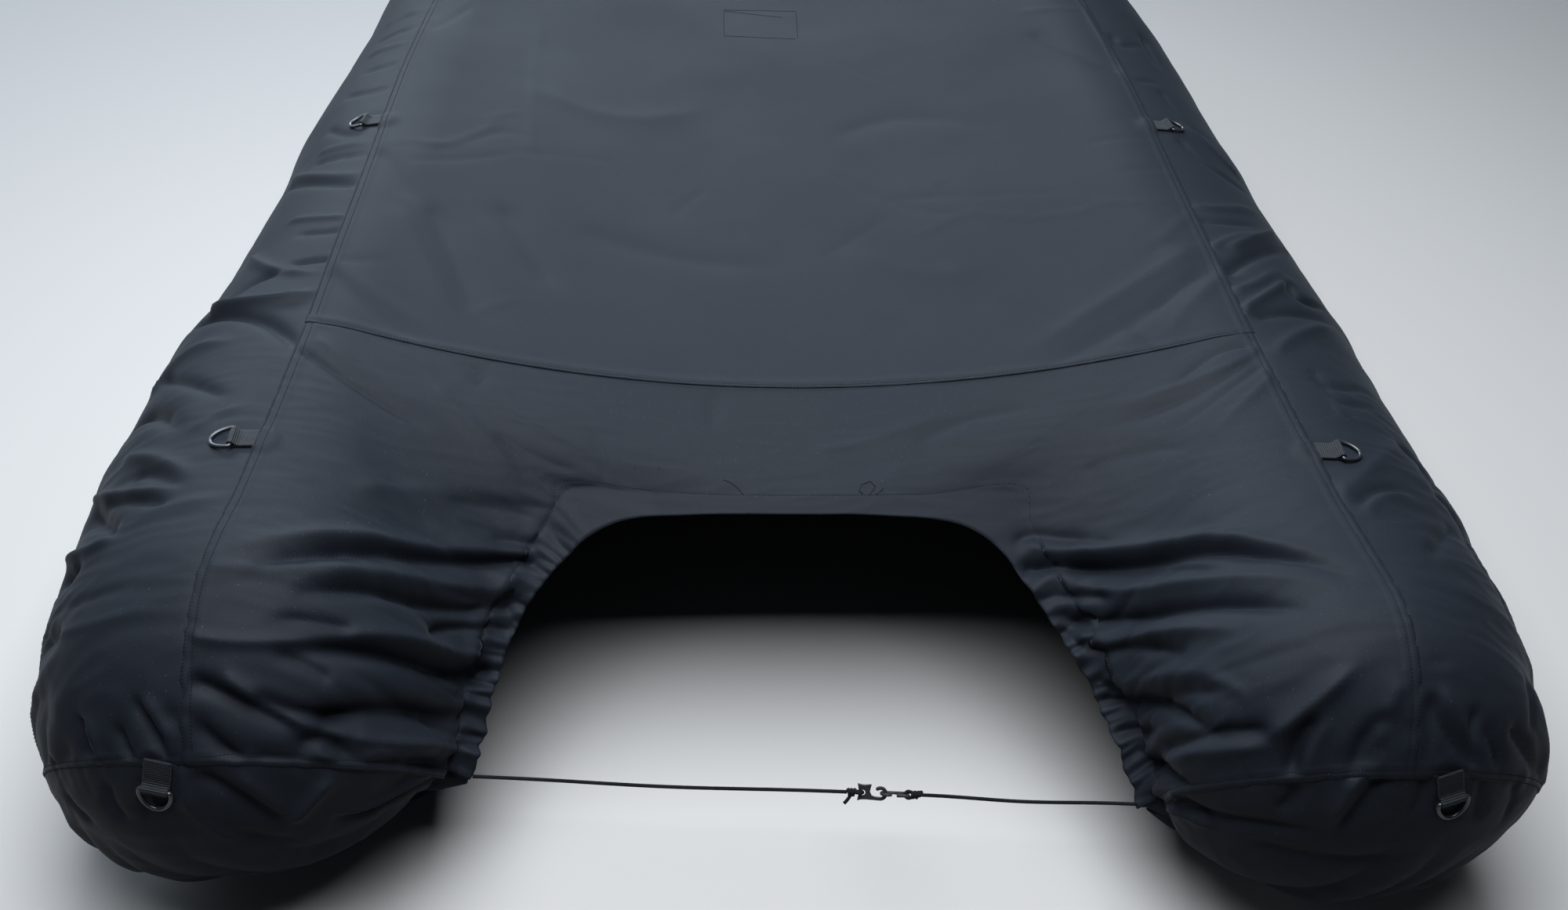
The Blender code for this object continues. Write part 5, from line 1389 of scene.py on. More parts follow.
def cloth_material(name, colour):
    """Coated woven polyester: fine threads, a faint sheen, soft uneven tone and lint."""
    material, tree, shader = start_material(name, colour, 0.56, 0.02, 0.05)
    where, solid = cloth_map(tree), piece_place(tree)
    weave = place_group(tree, "Plain weave", {"Thread pitch": 0.0011, "Vector": where})
    lint = place_group(tree, "Lint", {"Vector": solid})
    tone = add_node(tree, "ShaderNodeTexNoise", (-700, 300),
                    {"Scale": 3.5, "Detail": 4.0, "Vector": solid})
    base = tint(tree, colour, 1.35, tone.outputs["Fac"], 0.8)
    slubs = calculate(tree, "MULTIPLY", weave.outputs["Shade"], 0.35)
    base = mixed(tree, base, (*(value * 1.7 for value in colour), 1.0), slubs, (0, 200))
    base = mixed(tree, base, LINT_COLOUR, lint.outputs["Mask"], (150, 200))
    feed(tree, shader, {"Base Color": base})
    uneven_gloss(tree, shader, tone.outputs["Fac"], 0.52, 0.68)
    bump(tree, shader, weave.outputs["Height"], 0.00022, 0.6)
    return material


def webbing_material(name, colour):
    """Ribbed tape, with fine threads along it."""
    material, tree, shader = start_material(name, colour, 0.62, 0.04, 0.12)
    weave = place_group(tree, "Plain weave",
                        {"Thread pitch": 0.0007, "Unevenness": 0.5, "Vector": cloth_map(tree)})
    feed(tree, shader, {"Base Color": tint(tree, colour, 1.8, weave.outputs["Shade"], 0.8)})
    bump(tree, shader, weave.outputs["Height"], 0.0002, 0.8)
    return material


def plastic_material(name, colour, roughness, coat):
    """Moulded plastic with fine grain and slightly uneven gloss."""
    material, tree, shader = start_material(name, colour, roughness, specular=0.30)
    feed(tree, shader, {"Coat Weight": coat, "Coat Roughness": 0.25})
    grain = place_group(tree, "Moulded grain", {"Vector": piece_place(tree)})
    uneven_gloss(tree, shader, grain.outputs["Wear"], roughness - 0.06, roughness + 0.10)
    feed(tree, shader, {"Base Color": tint(tree, colour, 1.5, grain.outputs["Wear"], 0.6)})
    bump(tree, shader, grain.outputs["Height"], 0.00008, 0.5)
    return material


def cord_material(name, colour):
    """Braided cord: two sets of strands crossing round it, its colour lighter on their raised
    crossings and darker in the dips between them as painted shade.
    """
    material, tree, shader = start_material(name, colour, 0.80, 0.02, 0.06)
    turn = add_node(tree, "ShaderNodeMapping", (-800, 0),
                    {"Rotation": (0.0, 0.0, math.radians(45.0)), "Vector": cloth_map(tree, "cord")})
    weave = place_group(tree, "Plain weave", {"Thread pitch": 0.0016, "Vector": turn.outputs[0]})
    # Colour lifted where the braid stands high: painted shade in its dips, plus some random
    # unevenness
    feed(tree, shader, {"Base Color": tint(tree, colour, 3.0, weave.outputs["Height"], 0.7)})
    bump(tree, shader, weave.outputs["Height"], 0.0004, 0.9)
    return material


def thread_material(name, colour):
    """Twisted sewing thread."""
    material, tree, shader = start_material(name, colour, 0.75, 0.0, 0.10)
    twist = add_node(tree, "ShaderNodeTexNoise", (-600, 0),
                     {"Scale": 1500.0, "Vector": piece_place(tree)})
    feed(tree, shader, {"Base Color": tint(tree, colour, 1.6, twist.outputs["Fac"], 0.8)})
    bump(tree, shader, twist.outputs["Fac"], 0.0001, 0.5)
    return material


# Looks: how each is made, and whose colour it has
LOOKS = {
    "cover_cloth_look": (cloth_material, "cloth"),
    "webbing_look": (webbing_material, "webbing"),
    "ring_look": (partial(plastic_material, roughness=0.30, coat=0.12), "ring"),
    "hook_look": (partial(plastic_material, roughness=0.45, coat=0.05), "hook"),
    "cord_look": (cord_material, "cord"),
    "thread_look": (thread_material, "thread"),
}


def look(name):
    """A material by name, made the first time it is asked for."""
    found = bpy.data.materials.get(name)
    if found:
        return found
    make, part = LOOKS[name]
    return make(name, tuple(getattr(bpy.context.scene.boat_cover_colours, part)))


# ---------------------------------------------------------------- making and placing pieces

def finish_piece(obj, look_name, nodes=()):
    """Gives a piece its look and ties it to the frame."""
    material = look(look_name)
    if material.name not in [m.name for m in obj.data.materials if m]:
        obj.data.materials.append(material)
    if nodes:
        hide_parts(*nodes)
    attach(obj, "root")
    return obj


def new_object(name, data):
    obj = bpy.data.objects.new(name, data)
    bpy.context.scene.collection.objects.link(obj)
    return obj


def bent_grid(columns, rows, layer_name, place, unrolled):
    """A grid of quads with each corner moved to its place, and its map laid out in metres."""
    bm = bmesh.new()
    bmesh.ops.create_grid(bm, x_segments=columns, y_segments=rows, size=0.5)
    layer = bm.loops.layers.uv.new(layer_name)
    where = {}
    for vert in bm.verts:
        i, j = round((vert.co.x + 0.5) * columns), round((vert.co.y + 0.5) * rows)
        where[vert.index] = (i, j)
        vert.co = place(i, j)
    for face in bm.faces:
        face.smooth = True
        for loop in face.loops:
            loop[layer].uv = unrolled(*where[loop.vert.index])
    return bm


def mesh_object(name, bm):
    """A finished bmesh as a new object."""
    mesh = bpy.data.meshes.new(name)
    bm.to_mesh(mesh)
    bm.free()
    return new_object(name, mesh)


def sheet_object(name, points, turn, thickness):
    """A sheet on a grid of points, thickened inward, with its cloth laid out in metres as UVs."""
    columns, rows = points.shape[0] - 1, points.shape[1] - 1
    u = run_along(points[:, rows // 2])
    steps = np.linalg.norm(np.diff(points, axis=1), axis=-1)
    v = np.concatenate([np.zeros((columns + 1, 1)), np.cumsum(steps, axis=1)], axis=1)
    bm = bent_grid(columns, rows, "cloth", lambda i, j: points[i, j], lambda i, j: (u[i], v[i, j]))
    if turn < 0:
        bmesh.ops.reverse_faces(bm, faces=bm.faces)
    obj = mesh_object(name, bm)
    cloth = obj.modifiers.new("cloth", "SOLIDIFY")
    cloth.thickness = thickness
    cloth.offset = -1.0
    return obj


def flat_size(points):
    """Width and length of a grid's cloth laid flat, and its area."""
    along = np.linalg.norm(np.diff(points, axis=0), axis=-1).sum(axis=0).max()
    across = np.linalg.norm(np.diff(points, axis=1), axis=-1).sum(axis=1).max()
    first = points[1:, :-1] - points[:-1, :-1]
    second = points[:-1, 1:] - points[:-1, :-1]
    area = np.linalg.norm(np.cross(first, second), axis=-1).sum()
    return float(along), float(across), float(area)


def panels():
    """Every cloth piece: its slot's node, its panel and the shares of its grid."""
    quick = 1.0
    def count(number):
        return max(8, int(number * quick))
    even = np.linspace
    leg = even(0.0, LEG_SHARE, count(175))
    middle = even(LEG_SHARE, 1.0 - LEG_SHARE, count(100))
    rear_a = np.concatenate([leg[:-1], middle, 1.0 - leg[-2::-1]])
    rear_b = np.concatenate([even(0.0, 0.13, count(11)), [FACING_SHARE],
                             even(0.15, 1.0, count(72))])
    centre_a = even(0.0, 1.0, count(140))
    centre_b = np.concatenate([even(0.0, 0.52, count(125))[:-1], even(0.52, 1.0, count(45))])
    side_a = np.concatenate([even(0.0, 0.30, count(240))[:-1], even(0.30, 0.50, count(80))[:-1],
                             even(0.50, 1.0, count(90))])
    side_b = even(0.0, 1.0, count(84))
    cap_a, cap_b = even(0.0, 1.0, count(190)), even(0.0, 1.0, count(60))
    seams = {"a0": FELLED, "a1": FELLED, "b1": FELLED, "b0": LAPPED}
    rear_seams = {"b1": FELLED, "a0": FELLED, "a1": FELLED}
    table = [
        ("centre_panel", Panel(centre_base, CENTRE_FOLDS, seams, "", 1), centre_a, centre_b),
        ("rear_panel", Panel(rear_base, REAR_FOLDS, rear_seams, "arch", 1), rear_a, rear_b),
    ]
    for side, word, side_folds, cap_folds in ((-1, "left", PORT_FOLDS, PORT_CAP_FOLDS),
                                              (1, "right", STARBOARD_FOLDS, STARBOARD_CAP_FOLDS)):
        bow = FELLED if side > 0 else UNDER
        seams = {"b0": UNDER, "a0": FELLED, "a1": bow}
        table += [
            ("side_panel_" + word,
             Panel(partial(side_base, side), side_folds, seams, "hem", -side), side_a, side_b),
            ("end_cap_" + word,
             Panel(partial(cap_base, side), cap_folds, {"b0": UNDER}, "hem", side), cap_a, cap_b),
        ]
    return table


# ---------------------------------------------------------------- wires, strips and stitches

def sweep(name, path, radius, sides, cyclic=False):
    """A round wire along a path, with its skin laid out in metres as UVs."""
    path = [Vector(point) for point in path]
    if cyclic:
        path = path + [path[0]]
    count = len(path)
    tangents = []
    for i in range(count):
        before = path[i - 1] if i else (path[-2] if cyclic else path[0])
        after = path[i + 1] if i + 1 < count else (path[1] if cyclic else path[-1])
        tangents.append((after - before).normalized())
    side = tangents[0].orthogonal().normalized()
    frames = []
    for tangent in tangents:
        side = (side - tangent * side.dot(tangent)).normalized()
        frames.append((side.copy(), tangent.cross(side)))
    twist = 0.0
    if cyclic:
        last, first = frames[-1][0], frames[0]
        twist = math.atan2(last.dot(first[1]), last.dot(first[0]))
    run = np.concatenate([[0.0], np.cumsum([(b - a).length for a, b in zip(path, path[1:])])])

    def place(i, j):
        angle = 2.0 * math.pi * j / sides - twist * i / (count - 1)
        across, up = frames[i]
        return path[i] + across * (radius * math.cos(angle)) + up * (radius * math.sin(angle))

    bm = bent_grid(count - 1, sides, "cord", place,
                   lambda i, j: (run[i], 2.0 * math.pi * radius * j / sides))
    bmesh.ops.remove_doubles(bm, verts=bm.verts, dist=1e-6)
    if not cyclic:
        bmesh.ops.holes_fill(bm, edges=bm.edges, sides=sides)
    bmesh.ops.recalc_face_normals(bm, faces=bm.faces)
    return mesh_object(name, bm)


def smooth_path(points, count, cyclic=False):
    """Points evenly along a rounded curve through the given ones."""
    points = np.array(points, dtype=float)
    if cyclic:
        ring = np.concatenate([points[-1:], points, points[:2]])
    else:
        ring = np.concatenate([2 * points[:1] - points[1:2], points,
                               2 * points[-1:] - points[-2:-1]])
    fine = []
    for p0, p1, p2, p3 in zip(ring, ring[1:], ring[2:], ring[3:]):
        for t in np.linspace(0.0, 1.0, 12, endpoint=False):
            fine.append(0.5 * (2 * p1 + (p2 - p0) * t + (2 * p0 - 5 * p1 + 4 * p2 - p3) * t ** 2
                               + (3 * p1 - p0 - 3 * p2 + p3) * t ** 3))
    fine.append(points[0] if cyclic else points[-1])
    fine = np.array(fine)
    run = run_along(fine)
    at = np.linspace(0.0, run[-1], count, endpoint=not cyclic)
    return at_stations(at, run, fine)


def stitch_row(points, normals, pitch, length, lift):
    """Stitches along a line: each a short thread that dips in at both ends."""
    run = run_along(points)
    count = int(run[-1] / pitch)

    def at(distance):
        normal = at_stations(distance, run, normals)
        return at_stations(distance, run, points), normal / np.linalg.norm(normal)

    stitches = []
    for i in range(count):
        start = (i + 0.5) * pitch - length / 2.0
        threads = []
        for share, up in ((0.0, -0.6), (0.28, 0.6), (0.72, 0.6), (1.0, -0.6)):
            point, normal = at(start + length * share)
            threads.append(point + normal * lift * up)
        stitches.append(threads)
    return stitches


def add_spline(curve, points):
    """A straight-sided spline through points on a curve."""
    spline = curve.splines.new("POLY")
    spline.points.add(len(points) - 1)
    spline.points.foreach_set("co", [value for point in points for value in (*point, 1.0)])
    return spline


def curve_mesh(name, curve):
    """A finished curve made a mesh."""
    shaped = new_object(name, curve)
    bpy.context.view_layer.update()
    graph = bpy.context.evaluated_depsgraph_get()
    mesh = bpy.data.meshes.new_from_object(shaped.evaluated_get(graph))
    bpy.data.objects.remove(shaped, do_unlink=True)
    return mesh


def stitches_object(name, stitches, radius):
    """All the stitches of a seam as one piece."""
    curve = bpy.data.curves.new(name, "CURVE")
    curve.dimensions = "3D"
    curve.bevel_depth = radius
    curve.bevel_resolution = 0
    for points in stitches:
        spline = add_spline(curve, points)
        for item in (spline.points[0], spline.points[-1]):
            item.radius = 0.55
    mesh = curve_mesh(name, curve)
    mesh.name = name
    mesh.polygons.foreach_set("use_smooth", [True] * len(mesh.polygons))
    return new_object(name, mesh)


def frame_matrix(origin, x_axis, y_axis):
    x_axis = Vector(x_axis).normalized()
    y_axis = Vector(y_axis)
    y_axis = (y_axis - x_axis * y_axis.dot(x_axis)).normalized()
    matrix = Matrix((x_axis, y_axis, x_axis.cross(y_axis))).transposed().to_4x4()
    matrix.translation = origin
    return matrix


def placed(place, points):
    return [place @ Vector(point) for point in points]


def arc(centre, radius, start, stop, count):
    """Points on an arc between two angles in degrees."""
    angles = [math.radians(start + (stop - start) * i / (count - 1)) for i in range(count)]
    return [(centre[0] + radius * math.cos(v), centre[1] + radius * math.sin(v)) for v in angles]


# ---------------------------------------------------------------- pieces

def make_panel(name, panel, inner_a, inner_b):
    """One cloth piece and the stitches that run along it."""
    sizes = cover_sizes()
    grid = cloth_grid(panel, inner_a, inner_b)
    obj = sheet_object(name + "_cloth", grid.points, panel.turn, sizes.thickness)
    finish_piece(obj, "cover_cloth_look", (name,))
    width, length, area = flat_size(grid.points)
    rows = stitch_lines(grid, panel)
    rows += [dressed_line(panel, line) for line in EXTRA_ROWS.get(name, ())]
    pieces = []
    if rows:
        stitches = [item for points, normals in rows
                    for item in stitch_row(points, normals, sizes.stitch_pitch, sizes.stitch_length,
                                           sizes.thread_radius)]
        seam = stitches_object(name + "_stitches", stitches, sizes.thread_radius)
        finish_piece(seam, "thread_look")
        pieces.append(seam)
    if name == "rear_panel":
        pieces += [make_loose_thread(panel, i, stations)
                   for i, stations in enumerate(LOOSE_THREADS)]
    return obj


def dressed_line(panel, stations):
    """A stitch row through stations a, b on a panel."""
    stations = np.array(stations)
    t = np.linspace(0.0, len(stations) - 1.0, 90 * (len(stations) - 1))
    a, b = at_stations(t, np.arange(len(stations)), stations).T
    points, normals, height = dressed(panel, a[None], b[None])
    return (points + normals * height[..., None])[0] + ORIGIN, normals[0]


def make_loose_thread(panel, number, stations):
    """A cut end of sewing thread, lying curled on the cloth."""
    sizes = cover_sizes()
    points, normals = dressed_line(panel, stations)
    line = smooth_path(points[::30] + normals[::30] * sizes.thread_radius, 40)
    obj = sweep("loose_thread_%d" % (number + 1), line, sizes.thread_radius * 0.8, 6)
    return finish_piece(obj, "thread_look")


def make_tab(row):
    """A loop of ribbed webbing, folded round its ring's bar and sewn into the seam."""
    name, root, along, out, _reach = row
    place = frame_matrix(root, along, out)
    radius = EYE_RADIUS + PLY / 2.0
    eye = (TAB_LENGTH, EYE_RADIUS + PLY)
    path = [(-TAB_TUCK, 1.55 * PLY), (TAB_LENGTH * 0.35, 1.6 * PLY),
            (TAB_LENGTH - 2.1 * radius, 1.9 * PLY)]
    path += arc(eye, radius, 120.0, -90.0, 12)
    path += [(TAB_LENGTH * 0.55, 0.5 * PLY), (-TAB_TUCK, 0.5 * PLY)]
    line = smooth_path([(x, y, 0.0) for x, y in path], 190)
    run = run_along(line)
    tangent = np.gradient(line, run, axis=0)
    normal = np.stack([-tangent[:, 1], tangent[:, 0], np.zeros(len(line))], -1)
    across = np.linspace(-1.0, 1.0, 13)
    rib = RIB_DEPTH * np.cos(2.0 * math.pi * run / RIB_PITCH)
    points = np.zeros((len(line), len(across), 3))
    for j, share in enumerate(across):
        edge = 1.0 - 0.5 * blend((abs(share) - 0.8) / 0.2)
        wander = 0.0002 * math.sin(5.0 * share + sum(root) * 40.0)
        local = line + normal * (rib * edge + wander - 0.0002 * (1.0 - edge))[:, None]
        local[:, 2] = share * TAB_WIDTH / 2.0 * (1.0 - 0.004 * np.sin(run * 700.0))
        points[:, j] = placed(place, local)
    obj = sheet_object("tab_" + name + "_webbing", points, 1, PLY * 0.8)
    obj.modifiers["cloth"].offset = 0.0
    finish_piece(obj, "webbing_look", ("tab_" + name,))
    width, length, area = flat_size(points)
    return obj


def make_ring(row):
    """A moulded D-ring on its bar in the tab's eye."""
    name, root, along, out, reach = row
    tab = frame_matrix(root, along, out)
    bar = tab @ Vector((TAB_LENGTH, EYE_RADIUS + PLY, 0.0))
    across = Vector(along).cross(Vector(out)).normalized()
    place = frame_matrix(bar, across, reach)
    start = math.degrees(math.asin(RING_BEND_START))
    low = RING_SHOULDER / RING_DEPTH
    rounded = [(RING_HALF_WIDTH * x / math.cos(math.radians(start)),
                RING_DEPTH * (low + (1.0 - low) * (y - RING_BEND_START) / RING_BEND_RISE))
               for x, y in arc((0.0, 0.0), 1.0, start, 180.0 - start, 11)]
    corner = (RING_BAR_HALF + 0.7 * (RING_HALF_WIDTH - RING_BAR_HALF),
              0.12 * RING_SHOULDER + 0.0005)
    path = [(RING_BAR_HALF * share, 0.0) for share in (-1.0, -0.5, 0.0, 0.5, 1.0)]
    path += [corner, *rounded, (-corner[0], corner[1])]
    line = smooth_path([(x, y, 0.0) for x, y in path], 110, True)
    obj = sweep("ring_" + name + "_moulding", placed(place, line), RING_WIRE, 18, True)
    finish_piece(obj, "ring_look", ("ring_" + name,))
    return obj


def make_hook(row):
    """A hooked plate with an eye, its edges rounded."""
    word, origin, x_axis, y_axis = row
    bevel = HOOK_THICKNESS * 0.22
    centre = (HOOK_BEND_AT, 0.0)
    outline = list(HOOK_BODY_LOWER)
    outline += arc(centre, HOOK_BEND_OUTER, -90.0, HOOK_TIP_ANGLE, 26)
    middle = (HOOK_BEND_OUTER + HOOK_BEND_INNER) / 2.0
    tip = arc(centre, middle, HOOK_TIP_ANGLE, HOOK_TIP_ANGLE, 2)[0]
    half = (HOOK_BEND_OUTER - HOOK_BEND_INNER) / 2.0
    outline += arc(tip, half * 0.98, HOOK_TIP_ANGLE, HOOK_TIP_ANGLE + 180.0, 9)[1:-1]
    outline += arc(centre, HOOK_BEND_INNER, HOOK_TIP_ANGLE, -100.0, 22)
    outline += list(HOOK_BODY_UPPER) + [(0.0016, 0.0030), (0.0018, -0.0010)]
    curve = bpy.data.curves.new("hook_" + word, "CURVE")
    curve.dimensions = "2D"
    curve.fill_mode = "BOTH"
    curve.extrude = HOOK_THICKNESS / 2.0 - bevel
    curve.bevel_depth = bevel
    curve.bevel_resolution = 2
    curve.offset = -bevel
    for points in (outline, arc(HOOK_EYE_AT, HOOK_EYE_RADIUS, 0.0, 345.0, 24)):
        add_spline(curve, [(x, y, 0.0) for x, y in points]).use_cyclic_u = True
    mesh = curve_mesh("hook_" + word + "_plate", curve)
    mesh.transform(frame_matrix(origin, x_axis, y_axis))
    obj = new_object("hook_" + word + "_plate", mesh)
    finish_piece(obj, "hook_look", ("hook_" + word,))
    return obj


def make_knot(row):
    """The cord wound into a knot, its loop through the hook's eye and its cut tail."""
    word, origin, x_axis, y_axis = row
    place = frame_matrix(origin, x_axis, y_axis)
    turns, wound, half_length = 2.2, 0.0031, 0.0044
    coil = []
    for i in range(45):
        t = i / 44.0
        angle = 2.0 * math.pi * turns * t
        coil.append((KNOT_AT - half_length + 2.0 * half_length * t,
                     wound * math.cos(angle), wound * math.sin(angle)))
    eye_x, eye_y = HOOK_EYE_AT
    over = HOOK_THICKNESS / 2.0 + CORD_RADIUS * 0.8
    last = coil[-1]
    loop = [(last[0] + 0.002, last[1] * 0.5, over), (eye_x - 0.003, eye_y, over + 0.0004),
            (eye_x, eye_y, 0.0), (eye_x - 0.003, eye_y, -over - 0.0004),
            (KNOT_AT + 0.005, 0.0, -over), (KNOT_AT + 0.002, -0.001, -0.0015)]
    line = smooth_path([(KNOT_START, 0.0, 0.0)] + coil + loop, 170)
    body = sweep("knot_" + word + "_turns", placed(place, line), CORD_RADIUS, 14)
    finish_piece(body, "cord_look", ("knot_" + word,))
    tilt = math.radians(KNOT_TAIL_TILT)
    tail = [(KNOT_AT - KNOT_TAIL * t * math.cos(tilt) + 0.0014 * math.sin(2.5 * t),
             -KNOT_TAIL * t * math.sin(tilt), 0.0008 * math.sin(3.0 * t))
            for t in np.linspace(0.0, 1.0, 14)]
    end = sweep("knot_" + word + "_tail", placed(place, tail), CORD_RADIUS * 0.97, 14)
    finish_piece(end, "cord_look")
    return [body, end]


def make_cord(row, stop_at):
    """One run of the draw cord, from the cap's corner to its knot."""
    word, start = row
    start, stop = Vector(start), Vector(stop_at)
    count = 60
    path = []
    for i in range(count):
        t = i / (count - 1)
        point = start.lerp(stop, t)
        point.z -= CORD_SAG * math.sin(math.pi * t) * 0.8
        point.y += 0.0008 * math.sin(9.0 * t)
        path.append(point)
    obj = sweep("cord_" + word + "_braid", path, CORD_RADIUS, 16)
    finish_piece(obj, "cord_look", ("cord_" + word,))
    return obj, path


# ---------------------------------------------------------------- add-on

def size_property(label, description, value, kind="LENGTH"):
    return bpy.props.FloatProperty(name=label, description=description, default=value, unit=kind)


class BoatCoverSizes(bpy.types.PropertyGroup):
    thickness: size_property("Cloth thickness", "Thickness of the cloth", 0.0014)
    fold_height: size_property("Fold height", "Scale of the folds' heights", 1.0, "NONE")
    drawn_fold_height: size_property(
        "Drawn fold height", "Scale of the drawn-in panels' folds", 1.4, "NONE")
    edge_depth: size_property("Edge depth", "Depth of the scallops along the arch's edge", 0.0060)
    gather_depth: size_property("Gather depth", "Depth of the gathers along the arch", 0.0075)
    fan_depth: size_property("Fan depth", "Depth of the fans of folds over the legs", 0.0105)
    hem_depth: size_property("Hem depth", "Depth of the folds drawn up from the hems", 0.0090)
    crumple_depth: size_property("Crumple depth", "Depth of slack creases at the stern", 0.0016)
    softness: size_property("Softness", "Height of slow unevenness all over", 0.0016)
    pucker_depth: size_property("Pucker depth", "Depth of the puckers beside seams", 0.0006)
    seam_lift: size_property("Seam lift", "Height of a lapped seam over the cloth", 0.0013)
    stitch_pitch: size_property("Stitch pitch", "Distance from stitch to stitch", 0.0042)
    stitch_length: size_property("Stitch length", "Length of one stitch", 0.0031)
    thread_radius: size_property("Thread radius", "Radius of the sewing thread", 0.00055)


def colour_property(label, value):
    return bpy.props.FloatVectorProperty(
        name=label, description="Colour of the " + label.lower(), default=value, subtype="COLOR",
        min=0.0, max=1.0)


class BoatCoverColours(bpy.types.PropertyGroup):
    cloth: colour_property("Cloth", (0.0040, 0.0052, 0.0075))
    webbing: colour_property("Webbing", (0.0036, 0.0044, 0.0060))
    ring: colour_property("Rings", (0.006, 0.007, 0.009))
    hook: colour_property("Hooks", (0.005, 0.006, 0.007))
    cord: colour_property("Cord", (0.0026, 0.0030, 0.0036))
    thread: colour_property("Thread", (0.0016, 0.0020, 0.0026))


class BOATCOVER_OT_draw_cord(bpy.types.Operator):
    """Add the draw cord with its knots and hooks"""
    bl_idname = "boat_cover.draw_cord"
    bl_label = "Draw cord and hooks"

    def execute(self, context):
        for cord_row, hook_row in zip(CORD_ROWS, HOOK_ROWS):
            hook = make_hook(hook_row)
            knots = make_knot(hook_row)
            knot_end = frame_matrix(*hook_row[1:]) @ Vector((KNOT_START, 0.0, 0.0))
            cord, path = make_cord(cord_row, knot_end)
            length = sum((b - a).length for a, b in zip(path, path[1:]))
            tuple(path[0])
            [tuple(p) for p in path]
        return {"FINISHED"}


class PanelMaker:
    """Makes the panels whose names start with one of its words"""
    words = ()

    def execute(self, context):
        for row in panels():
            if row[0].startswith(self.words):
                make_panel(*row)
        return {"FINISHED"}


class BOATCOVER_OT_top(PanelMaker, bpy.types.Operator):
    """Add the centre and rear panels of the top"""
    bl_idname = "boat_cover.top"
    bl_label = "Centre and rear panels"
    words = ("centre_panel", "rear_panel")


class BOATCOVER_OT_sides(PanelMaker, bpy.types.Operator):
    """Add the side panels that hang over the tubes"""
    bl_idname = "boat_cover.sides"
    bl_label = "Side panels"
    words = ("side_panel",)


class BOATCOVER_OT_caps(PanelMaker, bpy.types.Operator):
    """Add the caps over the tube ends"""
    bl_idname = "boat_cover.caps"
    bl_label = "End caps"
    words = ("end_cap",)


class BOATCOVER_OT_rings(bpy.types.Operator):
    """Add the webbing tabs and their rings"""
    bl_idname = "boat_cover.rings"
    bl_label = "Tabs and rings"

    def execute(self, context):
        for row in TAB_ROWS:
            make_ring(row)
            make_tab(row)
        return {"FINISHED"}


def area_light(name, place, target, size, power, colour):
    data = bpy.data.lights.new(name, "AREA")
    data.shape = "RECTANGLE"
    data.size, data.size_y = size
    data.energy = power
    data.color = colour
    obj = new_object(name, data)
    obj.location = place
    obj.rotation_euler = (Vector(target) - Vector(place)).to_track_quat("-Z", "Y").to_euler()
    return obj


def look_through(camera):
    """Turns the camera to its heading, pitch and roll."""
    heading, pitch, roll = (math.radians(value) for value in CAMERA_TURNS)
    forward = Vector((math.sin(heading) * math.cos(pitch), math.cos(heading) * math.cos(pitch),
                      -math.sin(pitch)))
    level = Vector((math.cos(heading), -math.sin(heading), 0.0))
    upright = level.cross(forward)
    right = level * math.cos(roll) + upright * math.sin(roll)
    up = upright * math.cos(roll) - level * math.sin(roll)
    turn = Matrix((right, up, -forward)).transposed().to_4x4()
    camera.matrix_world = Matrix.Translation(CAMERA_AT) @ turn


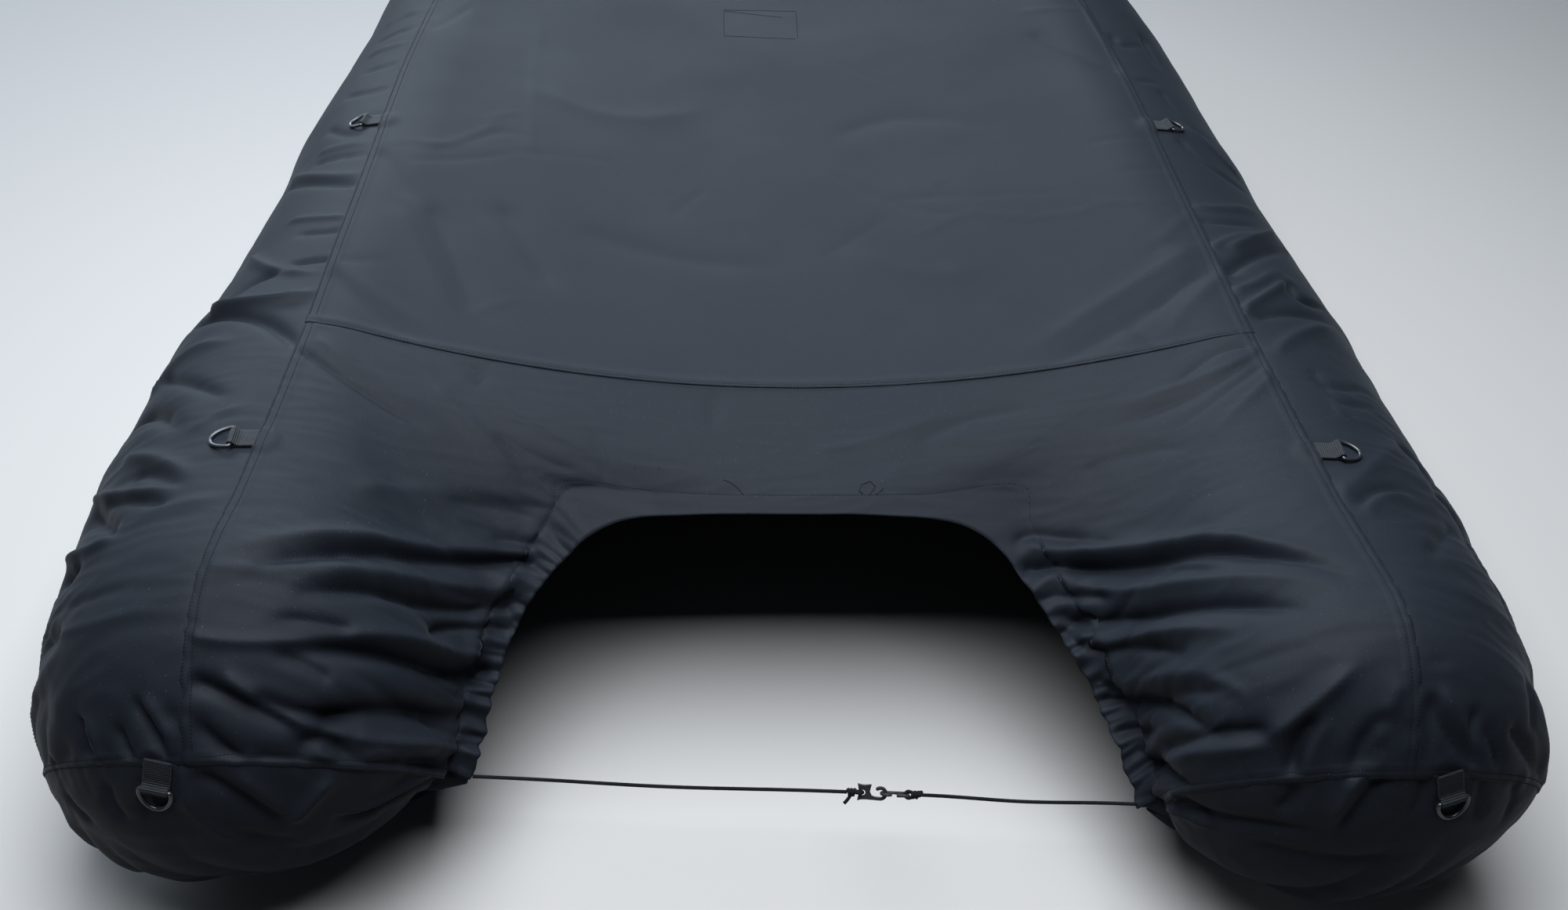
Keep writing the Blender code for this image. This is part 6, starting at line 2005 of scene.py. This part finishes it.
class BOATCOVER_OT_stage(bpy.types.Operator):
    """Add the floor, the soft lights and the camera"""
    bl_idname = "boat_cover.stage"
    bl_label = "Stage"

    def execute(self, context):
        scene = context.scene
        bm = bmesh.new()
        bmesh.ops.create_grid(bm, x_segments=1, y_segments=1, size=30.0,
                              matrix=Matrix.Translation((0.0, 0.0, FLOOR_Z)))
        floor = mesh_object("floor", bm)
        material = bpy.data.materials.new("floor_look")
        material.use_nodes = True
        tree = material.node_tree
        feed(tree, tree.nodes["Principled BSDF"],
             {"Base Color": (*FLOOR_COLOUR, 1.0), "Roughness": 0.9})
        floor.data.materials.append(material)
        for row in LIGHT_ROWS:
            area_light(*row)
        scene.view_settings.view_transform = "Standard"
        world = scene.world or bpy.data.worlds.new("studio")
        scene.world = world
        world.use_nodes = True
        tree = world.node_tree
        sky = tree.nodes.get("Background") or add_node(tree, "ShaderNodeBackground")
        feed(tree, sky, {"Color": (*WORLD_COLOUR, 1.0), "Strength": WORLD_STRENGTH})
        data = bpy.data.cameras.new("camera")
        data.lens = CAMERA_LENS
        data.sensor_width = 36.0
        data.sensor_fit = "HORIZONTAL"
        camera = new_object("camera", data)
        look_through(camera)
        scene.camera = camera
        return {"FINISHED"}


class BOATCOVER_PT_panel(bpy.types.Panel):
    bl_label = "Boat cover"
    bl_idname = "BOATCOVER_PT_panel"
    bl_space_type = "VIEW_3D"
    bl_region_type = "UI"
    bl_category = "Boat cover"

    def draw(self, context):
        layout = self.layout
        for group in (context.scene.boat_cover_sizes, context.scene.boat_cover_colours):
            for name in group.__annotations__:
                layout.prop(group, name)
        for operator in OPERATORS:
            layout.operator(operator.bl_idname)


OPERATORS = (BOATCOVER_OT_stage, BOATCOVER_OT_draw_cord, BOATCOVER_OT_top, BOATCOVER_OT_sides,
             BOATCOVER_OT_caps, BOATCOVER_OT_rings)
CLASSES = (BoatCoverSizes, BoatCoverColours, *OPERATORS, BOATCOVER_PT_panel)


def register():
    for item in CLASSES:
        bpy.utils.register_class(item)
    bpy.types.Scene.boat_cover_sizes = bpy.props.PointerProperty(type=BoatCoverSizes)
    bpy.types.Scene.boat_cover_colours = bpy.props.PointerProperty(type=BoatCoverColours)


def unregister():
    del bpy.types.Scene.boat_cover_colours
    del bpy.types.Scene.boat_cover_sizes
    for item in reversed(CLASSES):
        bpy.utils.unregister_class(item)


def main():
    register()
    bpy.ops.boat_cover.stage()
    bpy.ops.boat_cover.draw_cord()
    bpy.ops.boat_cover.top()
    bpy.ops.boat_cover.sides()
    bpy.ops.boat_cover.caps()
    bpy.ops.boat_cover.rings()


if __name__ == "__main__":
    main()
